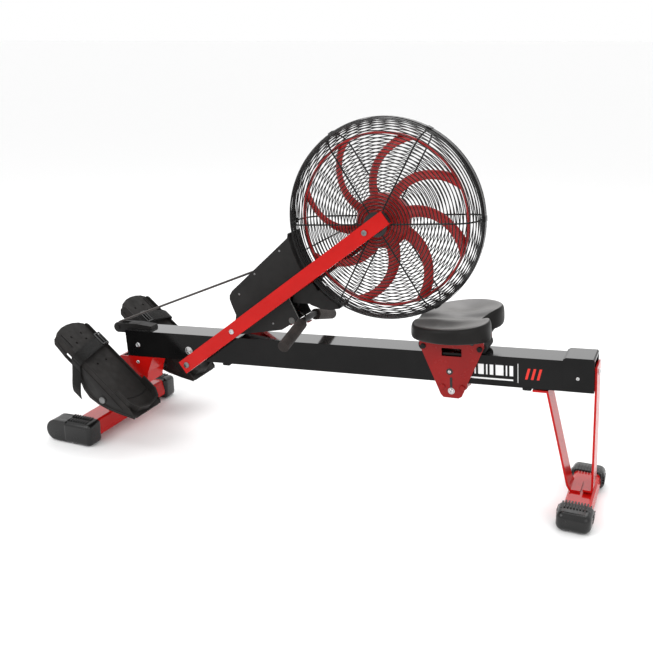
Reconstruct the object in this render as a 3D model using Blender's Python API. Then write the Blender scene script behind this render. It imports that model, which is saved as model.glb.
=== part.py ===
"""Air rowing machine: a sloping beam on two cross feet, a sliding saddle seat, two pivoting
footplates, and a caged fan wheel carried by a pair of arms that fold about the beam.

Metres, +Z up, +X from the footplates towards the seat end, +Y to the rower's right hand side
when facing the footplates.  The origin is on the floor under the middle of the machine.
"""
from math import asin, atan2, cos, pi, radians, sin

import bpy
import bmesh
from mathutils import Matrix, Vector

GAP = 0.0003                      # clearance between touching pieces

# beam
BEAM_FRONT = Vector((-0.680, 0.0, 0.297))
BEAM_SLOPE = radians(3.97)
BEAM_LENGTH = 1.510
BEAM_WIDTH = 0.086
BEAM_HEIGHT = 0.088
BEAM_WALL = 0.003
BEAM = Matrix.Translation(BEAM_FRONT) @ Matrix.Rotation(-BEAM_SLOPE, 4, "Y")

# feet
FRONT_FOOT_X = -0.7425
FRONT_FOOT_TOP = 0.074
FRONT_FOOT_HALF = 0.189           # half length of bare tube between the end caps
FRONT_CAP_END = 0.256
WHEEL_X = -0.836
WHEEL_Z = 0.0292
WHEEL_RADIUS = 0.028
FORK_X = -0.834
REAR_FOOT_X = 0.820
REAR_FOOT_TOP = 0.053
REAR_FOOT_HALF = 0.098
REAR_CAP_END = 0.176

# fan frame
PIVOT_X = -0.4084
PIVOT_Z = 0.2795
ARM_ANGLE = radians(38.62)
ARM_LENGTH = 0.859
ARM_HEIGHT = 0.043
ARM_INNER = 0.0855                # inner face of an arm
ARM_THICK = 0.021
ARM_WALL = 0.0025
PIVOT_INSET = 0.020               # pivot to the arm's lower end
HUB_X = 0.2110
HUB_Z = 0.7755
AXLE_RADIUS = 0.006

# fan cage and fan wheel
CAGE_RADIUS = 0.288
CAGE_FLAT = 0.235                 # where the flat face turns into the rounded edge
CAGE_HALF = 0.080                 # half width at the hub
CAGE_EDGE_HALF = 0.076
CAGE_WIRE = 0.0017
CAGE_SPOKES = 6
CAGE_RINGS = 4
CAGE_TURN = radians(5.0)
WHEEL_RING = 0.248
FAN_BLADES = 8
FAN_Y = -0.012                    # middle of the fan wheel, which sits beside the sprocket
FAN_HALF = 0.020
FAN_HUB = 0.080
SPROCKET_Y = 0.016
SPROCKET_RADIUS = 0.024
CHAIN_HALF_WIDTH = 0.003
CHAIN_HALF_THICK = 0.0025

# drive cover
COVER_HALF = 0.044
COVER_WALL = 0.003
CAGE_CLEAR = 0.2935
MOUTH_IDLER = (-0.086, 0.486)
CORD_IDLER = (-0.106, 0.646)
IDLER_RADIUS = 0.013

# seat
SEAT_S = 1.120                    # carriage centre, along the beam
SEAT_LENGTH = 0.225
SEAT_WIDTH = 0.345
SEAT_BASE_T = 0.090               # underside of the seat base above the beam's axis
PLATE_INNER = 0.0470
PLATE_THICK = 0.0035
ROLLER_RADIUS = 0.018
ROLLER_SPREAD = 0.082
LOWER_ROLLER_RADIUS = 0.012
LOWER_ROLLER_SPREAD = 0.036

# footplates
PEDAL_X = -0.6325
PEDAL_Z = 0.178
PEDAL_SLOPE = radians(39.4)
PEDAL_CENTRE = 0.1765
PEDAL_HALF = 0.0735
PEDAL_TOE = -0.270
PEDAL_HEEL = 0.119
PEDAL_SURFACE = 0.0434            # walking surface above the pedal axle
PEDAL_SKIN = 0.008
PEDAL_WALL = 0.004
STRAP_U = -0.165
STRAP_WIDTH = 0.038
STRAP_THICK = 0.0025

# handle
HANDLE_X = -0.030
HANDLE_Z = 0.455
HANDLE_HALF = 0.180
HANDLE_DROP = radians(15)
HANDLE_BEND = 0.034               # half length of the straight middle
BAR_RADIUS = 0.0095
GRIP_RADIUS = 0.0175

# return cord
PULLEY_X = -0.7275
PULLEY_Z = 0.3385
PULLEY_RADIUS = 0.0135
CORD_RADIUS = 0.0038
CORD_EXIT = Vector((-0.2300, 0.0, 0.5740))

RED = (0.55, 0.012, 0.012)
BLACK_PAINT = (0.010, 0.010, 0.011)
PLASTIC = (0.018, 0.017, 0.017)
RUBBER = (0.012, 0.012, 0.012)
STEEL = (0.62, 0.62, 0.63)
FAN_RED = (0.22, 0.010, 0.010)
FOAM = (0.035, 0.028, 0.026)


def clear_scene():
    for obj in list(bpy.data.objects):
        bpy.data.objects.remove(obj, do_unlink=True)


def material(name, colour, roughness, metallic):
    found = bpy.data.materials.get(name)
    if found is None:
        found = bpy.data.materials.new(name)
        found.use_nodes = True
        shader = found.node_tree.nodes["Principled BSDF"]
        shader.inputs["Base Color"].default_value = (*colour, 1.0)
        shader.inputs["Roughness"].default_value = roughness
        shader.inputs["Metallic"].default_value = metallic
    return found


LOOKS = {
    "red_paint": (RED, 0.25, 0.0),
    "black_paint": (BLACK_PAINT, 0.15, 0.0),
    "moulded": (PLASTIC, 0.45, 0.0),
    "rubber": (RUBBER, 0.7, 0.0),
    "steel": (STEEL, 0.25, 1.0),
    "fan_red": (FAN_RED, 0.4, 0.0),
    "wire": (BLACK_PAINT, 0.35, 0.0),
    "foam": (FOAM, 0.85, 0.0),
    "webbing": (RUBBER, 0.9, 0.0),
    "saddle": (PLASTIC, 0.35, 0.0),
}


def add_object(name, bm, look, origin=None):
    """Turn a bmesh in world coordinates into a named object whose origin is at origin."""
    bmesh.ops.recalc_face_normals(bm, faces=bm.faces)
    if origin is not None:
        bmesh.ops.translate(bm, verts=bm.verts, vec=-Vector(origin))
    mesh = bpy.data.meshes.new(name)
    bm.to_mesh(mesh)
    bm.free()
    mesh.shade_smooth()
    mesh.set_sharp_from_angle(angle=radians(35))
    obj = bpy.data.objects.new(name, mesh)
    if origin is not None:
        obj.location = origin
    bpy.context.scene.collection.objects.link(obj)
    mesh.materials.append(material(look, *LOOKS[look]))
    return obj


def boolean(target, tool, operation):
    """Apply an exact boolean to target and delete the tool."""
    modifier = target.modifiers.new("solid", "BOOLEAN")
    modifier.operation = operation
    modifier.solver = "EXACT"
    modifier.object = tool
    bpy.context.view_layer.update()
    graph = bpy.context.evaluated_depsgraph_get()
    result = bpy.data.meshes.new_from_object(target.evaluated_get(graph))
    target.modifiers.remove(modifier)
    old = target.data
    target.data = result
    bpy.data.meshes.remove(old)
    bpy.data.objects.remove(tool, do_unlink=True)
    result.shade_smooth()
    result.set_sharp_from_angle(angle=radians(35))
    return target


def cut(target, *tools):
    for tool in tools:
        boolean(target, tool, "DIFFERENCE")
    return target


def join(target, *tools):
    for tool in tools:
        boolean(target, tool, "UNION")
    return target


def prism_mesh(outline, y0, y1):
    """Extrude an outline of (x, z) points from y0 to y1."""
    bm = bmesh.new()
    base = [bm.verts.new((x, y0, z)) for x, z in outline]
    face = bm.faces.new(base)
    grown = bmesh.ops.extrude_face_region(bm, geom=[face])
    verts = [v for v in grown["geom"] if isinstance(v, bmesh.types.BMVert)]
    bmesh.ops.translate(bm, verts=verts, vec=(0.0, y1 - y0, 0.0))
    return bm


def prism(name, outline, y0, y1, look, frame=None, origin=None):
    bm = prism_mesh(outline, y0, y1)
    if frame is not None:
        bm.transform(frame)
    return add_object(name, bm, look, origin)


def slab(name, low, high, look, frame=None, origin=None, bevel=0.0):
    """A box between two corners, with an optional bevel on every edge."""
    (x0, y0, z0), (x1, y1, z1) = low, high
    bm = prism_mesh([(x0, z0), (x1, z0), (x1, z1), (x0, z1)], y0, y1)
    if bevel:
        bmesh.ops.bevel(bm, geom=bm.edges[:], offset=bevel, segments=2, affect="EDGES", profile=0.5)
    if frame is not None:
        bm.transform(frame)
    return add_object(name, bm, look, origin)


def lathe_mesh(profile, steps, closed_loop=False):
    """Spin (radius, y) points about the Y axis. The profile's ends close on the axis or on a loop."""
    bm = bmesh.new()
    rings = []
    for radius, y in profile:
        if radius < 1e-6:
            rings.append([bm.verts.new((0.0, y, 0.0))])
            continue
        ring = []
        for i in range(steps):
            angle = 2 * pi * i / steps
            ring.append(bm.verts.new((radius * cos(angle), y, radius * sin(angle))))
        rings.append(ring)
    pairs = list(zip(rings, rings[1:]))
    if closed_loop:
        pairs.append((rings[-1], rings[0]))
    for a, b in pairs:
        for i in range(steps):
            j = (i + 1) % steps
            if len(a) == 1:
                bm.faces.new((a[0], b[i], b[j]))
            elif len(b) == 1:
                bm.faces.new((a[j], a[i], b[0]))
            else:
                bm.faces.new((a[i], b[i], b[j], a[j]))
    return bm


def lathe(name, profile, x, z, look, steps=24, closed_loop=False, moving=True):
    """A turned piece whose axis is along Y through (x, z)."""
    bm = lathe_mesh(profile, steps, closed_loop)
    bmesh.ops.translate(bm, verts=bm.verts, vec=(x, 0.0, z))
    return add_object(name, bm, look, (x, 0.0, z) if moving else None)


def rod(name, x, z, radius, y0, y1, look, steps=16):
    return lathe(name, [(0, y0), (radius, y0), (radius, y1), (0, y1)], x, z, look, steps)


def through_bolt(name, x, z, shank, reach, head, look="steel", collar=None):
    """A bolt right through along Y, with a round head outside |y| = reach at each end.

    collar = (radius, y_in, y_out) adds a spacer ring on both sides.
    """
    rise = 0.5 * head
    half = [(shank, reach), (head, reach), (head, reach + 0.3 * rise), (0.8 * head, reach + 0.8 * rise),
            (0.45 * head, reach + rise), (0.40 * head, reach + 0.4 * rise), (0, reach + 0.4 * rise)]
    if collar is not None:
        radius, y_in, y_out = collar
        half = [(shank, y_in), (radius, y_in), (radius, y_out), (shank, y_out)] + half
    profile = [(r, -y) for r, y in reversed(half)] + half
    return lathe(name, profile, x, z, look, 12)


def hole_tool(x, z, radius, y0=-0.5, y1=0.5, steps=16):
    return rod("tool", x, z, radius, y0, y1, "steel", steps)


def arc(cx, cz, radius, start, end, count):
    """Points on an arc, angles in radians from +X towards +Z."""
    points = []
    for i in range(count + 1):
        angle = start + (end - start) * i / count
        points.append((cx + radius * cos(angle), cz + radius * sin(angle)))
    return points


def beam_point(s, t, y=0.0):
    return BEAM @ Vector((s, y, t))


# ---------------------------------------------------------------- beam and feet

def make_beam():
    half_w = BEAM_WIDTH / 2
    half_h = BEAM_HEIGHT / 2
    beam = slab("main_beam", (0, -half_w, -half_h), (BEAM_LENGTH, half_w, half_h), "black_paint", BEAM)
    wall = BEAM_WALL
    inside = slab("tool", (-0.1, wall - half_w, wall - half_h),
                  (BEAM_LENGTH + 0.1, half_w - wall, half_h - wall), "black_paint", BEAM)
    cut(beam, inside, hole_tool(PIVOT_X, PIVOT_Z, 0.0043))


def make_beam_ends():
    inner_w = BEAM_WIDTH / 2 - BEAM_WALL - GAP
    inner_h = BEAM_HEIGHT / 2 - BEAM_WALL - GAP
    depth = 0.025
    window_w = 0.018
    front = slab("front_end_plug", (0.001, -inner_w, -inner_h), (depth, inner_w, inner_h), "moulded", BEAM)
    window = slab("tool", (-0.1, -window_w, -0.012), (0.1, window_w, inner_h - 0.006), "moulded", BEAM)
    cut(front, window)
    half_w = BEAM_WIDTH / 2 + GAP
    half_h = BEAM_HEIGHT / 2 + GAP
    skin = 0.0025
    start = BEAM_LENGTH - 0.082
    ramp = BEAM_LENGTH - 0.074
    top = half_h + 0.009
    outline = [(start, -half_h + 0.004), (BEAM_LENGTH + 0.001, -half_h + 0.004),
               (BEAM_LENGTH + 0.001, top - 0.004), (BEAM_LENGTH - 0.003, top),
               (ramp, top), (start, half_h + 0.004)]
    rear = prism("rear_end_cap", outline, -half_w - skin, half_w + skin, "moulded", BEAM)
    channel = slab("tool", (-0.5, -half_w, -0.5), (BEAM_LENGTH + 0.5, half_w, half_h), "moulded", BEAM)
    cut(rear, channel)


def make_bumpers():
    for name, s in (("front_bumper", 0.368), ("rear_bumper", 1.328)):
        top = -BEAM_HEIGHT / 2 - GAP
        slab(name, (s - 0.0125, -0.030, top - 0.013), (s + 0.0125, 0.030, top), "rubber", BEAM, bevel=0.003)


def foot_outline(x, top, half_top, half_wide, bottom, wide_z):
    return [(x - half_wide + 0.010, bottom), (x + half_wide - 0.010, bottom), (x + half_wide, wide_z),
            (x + half_wide, wide_z + 0.012), (x + half_top + 0.003, top - 0.006), (x + half_top - 0.003, top),
            (x - half_top + 0.003, top), (x - half_top - 0.003, top - 0.006),
            (x - half_wide, wide_z + 0.012), (x - half_wide, wide_z)]


def make_cap(name, side, y_in, y_out, outer, inner, depth):
    """An end cap: a rounded block with a socket for the foot's tube, inner end at y_in."""
    bm = prism_mesh(outer, side * y_in, side * y_out)
    outer_edges = [e for e in bm.edges if all(abs(abs(v.co.y) - y_out) < 1e-6 for v in e.verts)]
    bmesh.ops.bevel(bm, geom=outer_edges, offset=0.009, segments=3, affect="EDGES", profile=0.5,
                    clamp_overlap=True)
    cap = add_object(name, bm, "moulded")
    socket = prism("tool", inner, side * (y_in - 0.05), side * (y_in + depth), "moulded")
    cut(cap, socket)
    return cap


def grown(outline, cx, cz, amount):
    """Move every point of an outline away from its middle by amount along X and Z."""
    return [(x + (amount if x > cx else -amount), z + (amount if z > cz else -amount)) for x, z in outline]


def make_front_foot():
    tube = foot_outline(FRONT_FOOT_X, FRONT_FOOT_TOP, 0.034, 0.043, 0.016, 0.022)
    socket_depth = 0.030
    end = FRONT_FOOT_HALF + socket_depth - 0.002
    prism("front_stabilizer", tube, -end, end, "red_paint")
    inner = grown(tube, FRONT_FOOT_X, 0.045, GAP)
    back = FRONT_FOOT_X + 0.050
    outer = ([(FRONT_FOOT_X - 0.036, 0.0), (back - 0.012, 0.0), (back, 0.012), (back, 0.060)]
             + arc(back - 0.016, 0.064, 0.016, 0, pi / 2, 3)
             + [(FRONT_FOOT_X - 0.028, 0.080), (FRONT_FOOT_X - 0.050, 0.073)]
             + arc(FORK_X, 0.038, 0.036, radians(75), pi, 6)
             + [(FORK_X - 0.033, 0.020), (FORK_X - 0.018, 0.009), (FRONT_FOOT_X - 0.052, 0.006)])
    for word, side in (("near", -1), ("far", 1)):
        cap = make_cap("front_cap_" + word, side, FRONT_FOOT_HALF, FRONT_CAP_END, outer, inner, socket_depth)
        low, high = sorted((side * (FRONT_FOOT_HALF - 0.02), side * (FRONT_CAP_END - 0.016)))
        well = rod("tool", WHEEL_X, WHEEL_Z, WHEEL_RADIUS + 0.003, low, high, "moulded", 28)
        low, high = sorted((side * 0.2, side * (FRONT_CAP_END - 0.006)))
        cut(cap, well, hole_tool(WHEEL_X, WHEEL_Z, 0.0043, low, high))
        axle_end = FRONT_CAP_END - 0.007
        profile = [(0, 0.200), (0.014, 0.200), (0.016, 0.203), (0.024, 0.203), (WHEEL_RADIUS, 0.206),
                   (WHEEL_RADIUS, 0.226), (0.024, 0.229), (0.016, 0.229), (0.014, 0.232), (0.004, 0.232),
                   (0.004, axle_end), (0, axle_end)]
        lathe("transport_wheel_" + word, [(r, side * y) for r, y in profile], WHEEL_X, WHEEL_Z, "rubber", 20)


def make_rear_foot():
    tube = foot_outline(REAR_FOOT_X, REAR_FOOT_TOP, 0.033, 0.040, 0.010, 0.016)
    end = REAR_FOOT_HALF + 0.028
    prism("rear_stabilizer", tube, -end, end, "red_paint")
    inner = grown(tube, REAR_FOOT_X, 0.030, GAP)
    half = 0.050
    outer = ([(REAR_FOOT_X - half + 0.008, 0.0), (REAR_FOOT_X + half - 0.008, 0.0)]
             + arc(REAR_FOOT_X + half - 0.022, 0.038, 0.022, 0, pi / 2, 4)
             + arc(REAR_FOOT_X - half + 0.022, 0.038, 0.022, pi / 2, pi, 4))
    for word, side in (("near", -1), ("far", 1)):
        make_cap("rear_cap_" + word, side, REAR_FOOT_HALF, REAR_CAP_END, outer, inner, 0.030)


def strip_outline(points, thickness):
    """A bent strip of even thickness: points are its front face, the back is offset to the right."""
    front = [Vector(p) for p in points]
    back = []
    for i, p in enumerate(front):
        before = (p - front[i - 1]).normalized() if i else (front[1] - p).normalized()
        after = (front[i + 1] - p).normalized() if i + 1 < len(front) else before
        mitre = (before + after).normalized()
        normal = Vector((mitre.y, -mitre.x))
        back.append(p + normal * thickness / max(0.4, mitre.dot(before)))
    return [tuple(p) for p in front] + [tuple(p) for p in reversed(back)]


def world_xz(s, t):
    p = beam_point(s, t)
    return (p.x, p.z)


def make_rear_legs():
    plate = 0.006
    foot_top = REAR_FOOT_TOP + GAP
    low = -BEAM_HEIGHT / 2 - GAP
    end = BEAM_LENGTH + 0.001 + GAP + plate
    leg = [world_xz(end, 0.028), world_xz(end, low), (REAR_FOOT_X + 0.032, foot_top + 0.02),
           (REAR_FOOT_X + 0.030, foot_top + plate), (REAR_FOOT_X + 0.004, foot_top + plate)]
    half = 0.036
    prism("rear_leg", strip_outline(leg, plate), -half, half, "red_paint")
    strut = [world_xz(BEAM_LENGTH - 0.165, low - plate), world_xz(BEAM_LENGTH - 0.122, low - plate),
             (REAR_FOOT_X - 0.036, foot_top + plate + 0.012), (REAR_FOOT_X - 0.028, foot_top + plate),
             (REAR_FOOT_X - 0.002, foot_top + plate)]
    prism("rear_strut", strip_outline(strut, plate), -half, half, "red_paint")


def make_front_post():
    """A welded bracket between the beam's front end and the front foot, which holds the pedal axle."""
    top = -BEAM_HEIGHT / 2 - GAP
    foot = FRONT_FOOT_TOP + GAP
    front_low = FRONT_FOOT_X - 0.030
    side = [world_xz(-0.030, top), world_xz(0.100, top), (PEDAL_X + 0.034, 0.205), (PEDAL_X + 0.026, 0.163),
            (PEDAL_X - 0.020, 0.150), (FRONT_FOOT_X + 0.034, foot), (front_low, foot), (front_low, 0.120)]
    half = 0.0465
    plate = 0.004
    post = prism("front_post", side, -half, half, "red_paint")
    hollow = [world_xz(-0.022, top + 0.1), world_xz(0.094, top + 0.1), world_xz(0.094, top),
              (PEDAL_X + 0.030, 0.206), (PEDAL_X + 0.022, 0.167), (PEDAL_X - 0.024, 0.154),
              (FRONT_FOOT_X + 0.029, foot + plate), (front_low + plate, foot + plate),
              (front_low + plate + 0.001, 0.120), world_xz(-0.022, top)]
    inside = prism("tool", hollow, plate - half, half - plate, "red_paint")
    cut(post, inside, hole_tool(PEDAL_X, PEDAL_Z, 0.0083))


def make_cross_bolts():
    """Bolts through the beam: one at its front end, one beside the fold pivot that locks the arms."""
    half = BEAM_WIDTH / 2 + GAP
    beam = bpy.data.objects["main_beam"]
    for name, spot, shank, head in (("beam_bolt_front", (0.046, -0.004), 0.0042, 0.0085),
                                    ("beam_bolt_lock", (0.2425, -0.0105), 0.0050, 0.0115)):
        p = beam_point(*spot)
        cut(beam, hole_tool(p.x, p.z, shank + GAP))
        through_bolt(name, p.x, p.z, shank, half, head)


# ---------------------------------------------------------------- return cord and its front pulley

def make_front_pulley():
    groove = PULLEY_RADIUS - 0.003
    half = [(groove, 0.0045), (0.0165, 0.0065), (0.0165, 0.009), (0.0040, 0.009), (0.0040, 0.0190),
            (0.0065, 0.0190), (0.0060, 0.0215), (0, 0.0215)]
    lathe("front_pulley", [(r, -y) for r, y in reversed(half)] + half, PULLEY_X, PULLEY_Z, "moulded", 18)
    top = BEAM_HEIGHT / 2 + GAP
    cheek = [world_xz(0.004, top), world_xz(0.090, top), world_xz(0.088, top + 0.010),
             world_xz(0.030, top + 0.016)] + arc(PULLEY_X, PULLEY_Z, 0.0175, radians(60), radians(262), 7)
    cheek += [world_xz(-0.001, 0.028), world_xz(-0.001, top)]
    bracket = prism("pulley_bracket", cheek, -0.0187, 0.0187, "moulded")
    slot = prism("tool", [(PULLEY_X - 0.05, 0.28), (PULLEY_X + 0.052, 0.28), (PULLEY_X + 0.052, 0.332),
                          (PULLEY_X + 0.036, 0.337), (PULLEY_X + 0.036, 0.42), (PULLEY_X - 0.05, 0.42)],
                 -0.0105, 0.0105, "moulded")
    cut(bracket, slot, hole_tool(PULLEY_X, PULLEY_Z, 0.0043))


def smooth_route(knots, spacing):
    """Points about spacing apart on a smooth curve through the knots."""
    points = []
    count = len(knots)
    for i in range(count - 1):
        p0 = knots[max(0, i - 1)]
        p1 = knots[i]
        p2 = knots[i + 1]
        p3 = knots[min(count - 1, i + 2)]
        steps = max(1, round((p2 - p1).length / spacing))
        for k in range(steps):
            t = k / steps
            points.append(0.5 * (2 * p1 + (p2 - p0) * t + (2 * p0 - 5 * p1 + 4 * p2 - p3) * t * t
                                 + (3 * p1 - p0 - 3 * p2 + p3) * t ** 3))
    points.append(knots[-1])
    return points


def pulley_point(degrees):
    reach = PULLEY_RADIUS - 0.003 + CORD_RADIUS + 2 * GAP
    angle = radians(degrees)
    return Vector((PULLEY_X + reach * cos(angle), 0.0, PULLEY_Z + reach * sin(angle)))


def make_cord():
    """The elastic return cord: from the drive cover to the front pulley, round it and into the beam."""
    route = [CORD_EXIT + (CORD_EXIT - pulley_point(113)).normalized() * 0.045]
    route += [CORD_EXIT.lerp(pulley_point(113), f) for f in (0.25, 0.5, 0.75, 0.92)]
    route += [pulley_point(a) for a in (113, 150, 185, 220, 250, 276)]
    route += [beam_point(0.030, 0.024), beam_point(0.10, 0.016), beam_point(0.30, 0.008),
              beam_point(0.60, 0.004), beam_point(0.86, 0.004)]
    points = smooth_route(route, 0.02)
    curve = bpy.data.curves.new("return_cord", "CURVE")
    curve.dimensions = "3D"
    curve.bevel_depth = CORD_RADIUS
    curve.bevel_resolution = 1
    curve.use_fill_caps = True
    spline = curve.splines.new("POLY")
    spline.points.add(len(points) - 1)
    for slot, p in zip(spline.points, points):
        slot.co = (*p, 1.0)
    curve.materials.append(material("webbing", *LOOKS["webbing"]))
    obj = bpy.data.objects.new("return_cord", curve)
    bpy.context.scene.collection.objects.link(obj)
    anchor_s = 0.86 + GAP
    half_w = BEAM_WIDTH / 2 - BEAM_WALL - GAP
    slab("cord_anchor", (anchor_s, -half_w, -0.006), (anchor_s + 0.012, half_w, 0.014), "steel", BEAM)


# ---------------------------------------------------------------- folding fan frame

def arm_frame():
    start = Vector((PIVOT_X, 0.0, PIVOT_Z))
    return Matrix.Translation(start) @ Matrix.Rotation(-ARM_ANGLE, 4, "Y")


def make_arms():
    frame = arm_frame()
    half = ARM_HEIGHT / 2
    end = ARM_LENGTH - PIVOT_INSET
    bolt = frame @ Vector((0.2136, 0.0, -0.0003))
    tab = frame @ Vector((end - 0.075, 0.0, 0.0))
    wall = ARM_WALL
    for word, side in (("near", -1), ("far", 1)):
        low, high = sorted((side * ARM_INNER, side * (ARM_INNER + ARM_THICK)))
        arm = slab("arm_" + word, (-PIVOT_INSET, low, -half), (end, high, half), "red_paint", frame)
        core = slab("tool", (-0.2, low + wall, wall - half), (end + 0.2, high - wall, half - wall),
                    "red_paint", frame)
        near_end, far_end = sorted((side * 0.05, side * (ARM_INNER + 0.012)))
        axle_hole = hole_tool(HUB_X, HUB_Z, AXLE_RADIUS + GAP, near_end, far_end)
        cut(arm, core, hole_tool(PIVOT_X, PIVOT_Z, 0.0043), hole_tool(bolt.x, bolt.z, 0.0043), axle_hole)
        face = ARM_INNER + ARM_THICK
        near_end, far_end = sorted((side * (face - 0.001), side * (face + 0.004)))
        join(arm, rod("tool", tab.x, tab.z, 0.0085, near_end, far_end, "steel", 14))
        inner_half = half - wall - GAP
        slab("arm_plug_" + word, (end - 0.012, low + wall + GAP, -inner_half),
             (end + 0.0015, high - wall - GAP, inner_half), "moulded", frame)
    reach = ARM_INNER + ARM_THICK + GAP
    through_bolt("cover_bolt", bolt.x, bolt.z, 0.0040, reach, 0.0085,
                 collar=(0.009, COVER_HALF + GAP, ARM_INNER - GAP))
    through_bolt("pivot_bolt", PIVOT_X, PIVOT_Z, 0.0040, reach, 0.0100,
                 collar=(0.0072, BEAM_WIDTH / 2 + GAP, ARM_INNER - GAP))


def cage_side(start_deg, end_deg, count, radius=CAGE_CLEAR):
    return arc(HUB_X, HUB_Z, radius, radians(start_deg), radians(end_deg), count)


def cover_outline():
    """Side outline of the drive cover, closed along the cage by an arc."""
    return ([(-0.2700, 0.5230), (-0.2790, 0.5080), (-0.2795, 0.4950), (-0.2735, 0.4790),
             (-0.2585, 0.4460), (-0.2700, 0.3790), (-0.1000, 0.4180), (-0.0400, 0.4600),
             (-0.0800, 0.5320)] + cage_side(219, 191, 6) + [(-0.0790, 0.7060)])


def make_covers():
    """Two trays that meet on the middle plane and hold the chain run; their mouth is open."""
    outline = cover_outline()
    middle_x = sum(x for x, z in outline) / len(outline)
    middle_z = sum(z for x, z in outline) / len(outline)
    inner = []
    for x, z in outline:
        away = Vector((x - middle_x, z - middle_z))
        shrunk = away * (1.0 - COVER_WALL * 1.6 / away.length)
        inner.append((middle_x + shrunk.x, middle_z + shrunk.y))
    mouth = [(-0.0750, 0.4380), (0.0100, 0.4550), (-0.0500, 0.5700), (-0.1000, 0.5300)]
    bolt = arm_frame() @ Vector((0.2136, 0.0, -0.0003))
    for word, side in (("near", -1), ("far", 1)):
        inside = side * (COVER_HALF - COVER_WALL)
        cover = prism("drive_cover_" + word, outline, side * GAP / 2, side * COVER_HALF, "moulded")
        room = prism("tool", inner, side * -0.01, inside, "moulded")
        gap = prism("tool", mouth, side * -0.01, inside, "moulded")
        slack = CORD_EXIT - pulley_point(113)
        cord_hole = rod("tool", 0.0, 0.0, 0.0055, -0.090, 0.02, "moulded")
        turn = Matrix.Translation(CORD_EXIT) @ Matrix.Rotation(-atan2(slack.z, slack.x), 4, "Y")
        cord_hole.data.transform(turn @ Matrix.Rotation(pi / 2, 4, "Z"))
        cut(cover, room, gap, cord_hole, hole_tool(bolt.x, bolt.z, 0.0043))
        if side > 0:
            chain_slot = slab("tool", (-0.075, SPROCKET_Y - 0.006, 0.630),
                              (-0.030, SPROCKET_Y + 0.006, 0.690), "moulded")
            cut(cover, chain_slot)


def make_chain_guard():
    """The lower guard behind the mouth: a block along the cage's edge with two cheeks beside the chain."""
    arc_points = cage_side(229, 242, 4)
    outline = [(-0.0200, 0.5130), (-0.0080, 0.5040), (0.0250, 0.4960), (0.0550, 0.4960),
               (0.0850, 0.5040)] + list(reversed(arc_points))
    guard = prism("chain_guard", outline, -0.030, 0.030, "moulded")
    cheek = [(-0.0700, 0.5050), (-0.0150, 0.5070), (0.0200, 0.5400), (-0.0040, 0.5740), (-0.0640, 0.5330)]
    for side in (-1, 1):
        join(guard, prism("tool", cheek, side * 0.0270, side * 0.0302, "moulded"))


def make_cradle():
    """The shelf below the mouth on which the handle bar rests."""
    face = [(-0.0874, 0.4262), (-0.0587, 0.4463), (-0.0380, 0.4450), (-0.0300, 0.4438), (-0.0240, 0.4448)]
    prism("handle_cradle", strip_outline(face, 0.003), -0.012, 0.012, "red_paint")


def make_fan_axle():
    rod("fan_axle", HUB_X, HUB_Z, AXLE_RADIUS, -0.0960, 0.0960, "steel", 16)


def cage_profile(radius):
    """Half width of the cage at a distance from its axis."""
    if radius <= CAGE_FLAT:
        return CAGE_HALF + (CAGE_EDGE_HALF - CAGE_HALF) * radius / CAGE_FLAT
    f = (radius - CAGE_FLAT) / (CAGE_RADIUS - CAGE_FLAT)
    return 0.004 + (CAGE_EDGE_HALF - 0.004) * max(0.0, 1.0 - f * f) ** 0.5


def ring_mesh(radius, y, wire, steps=32, sides=4):
    profile = []
    for i in range(sides):
        angle = 2 * pi * i / sides
        profile.append((radius + wire * cos(angle), y + wire * sin(angle)))
    return lathe_mesh(profile, steps, closed_loop=True)


def spoke_mesh(angle, side, wire, sides=4):
    """One spoke from the hub plate to the rim, bent round the cage's edge."""
    bm = bmesh.new()
    radii = [0.036, CAGE_FLAT, 0.258, 0.274, 0.284, CAGE_RADIUS]
    rows = []
    for k, radius in enumerate(radii):
        y = side * cage_profile(radius)
        before = radii[max(0, k - 1)]
        after = radii[min(len(radii) - 1, k + 1)]
        slope = Vector((after - before, side * (cage_profile(after) - cage_profile(before)))).normalized()
        row = []
        for i in range(sides):
            a = 2 * pi * (i + 0.5) / sides
            out = wire * cos(a)
            across = wire * sin(a)
            r = min(radius, CAGE_RADIUS - 0.0030) - slope.y * side * out
            yy = y + slope.x * side * out
            row.append(bm.verts.new((r * cos(angle) - across * sin(angle), yy,
                                     r * sin(angle) + across * cos(angle))))
        rows.append(row)
    for a, b in zip(rows, rows[1:]):
        for i in range(sides):
            j = (i + 1) % sides
            bm.faces.new((a[i], a[j], b[j], b[i]))
    bm.faces.new(list(reversed(rows[0])))
    bm.faces.new(rows[-1])
    return bm


def at_hub(bm, name="tool", look="wire"):
    bmesh.ops.translate(bm, verts=bm.verts, vec=(HUB_X, 0.0, HUB_Z))
    return add_object(name, bm, look)


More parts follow.
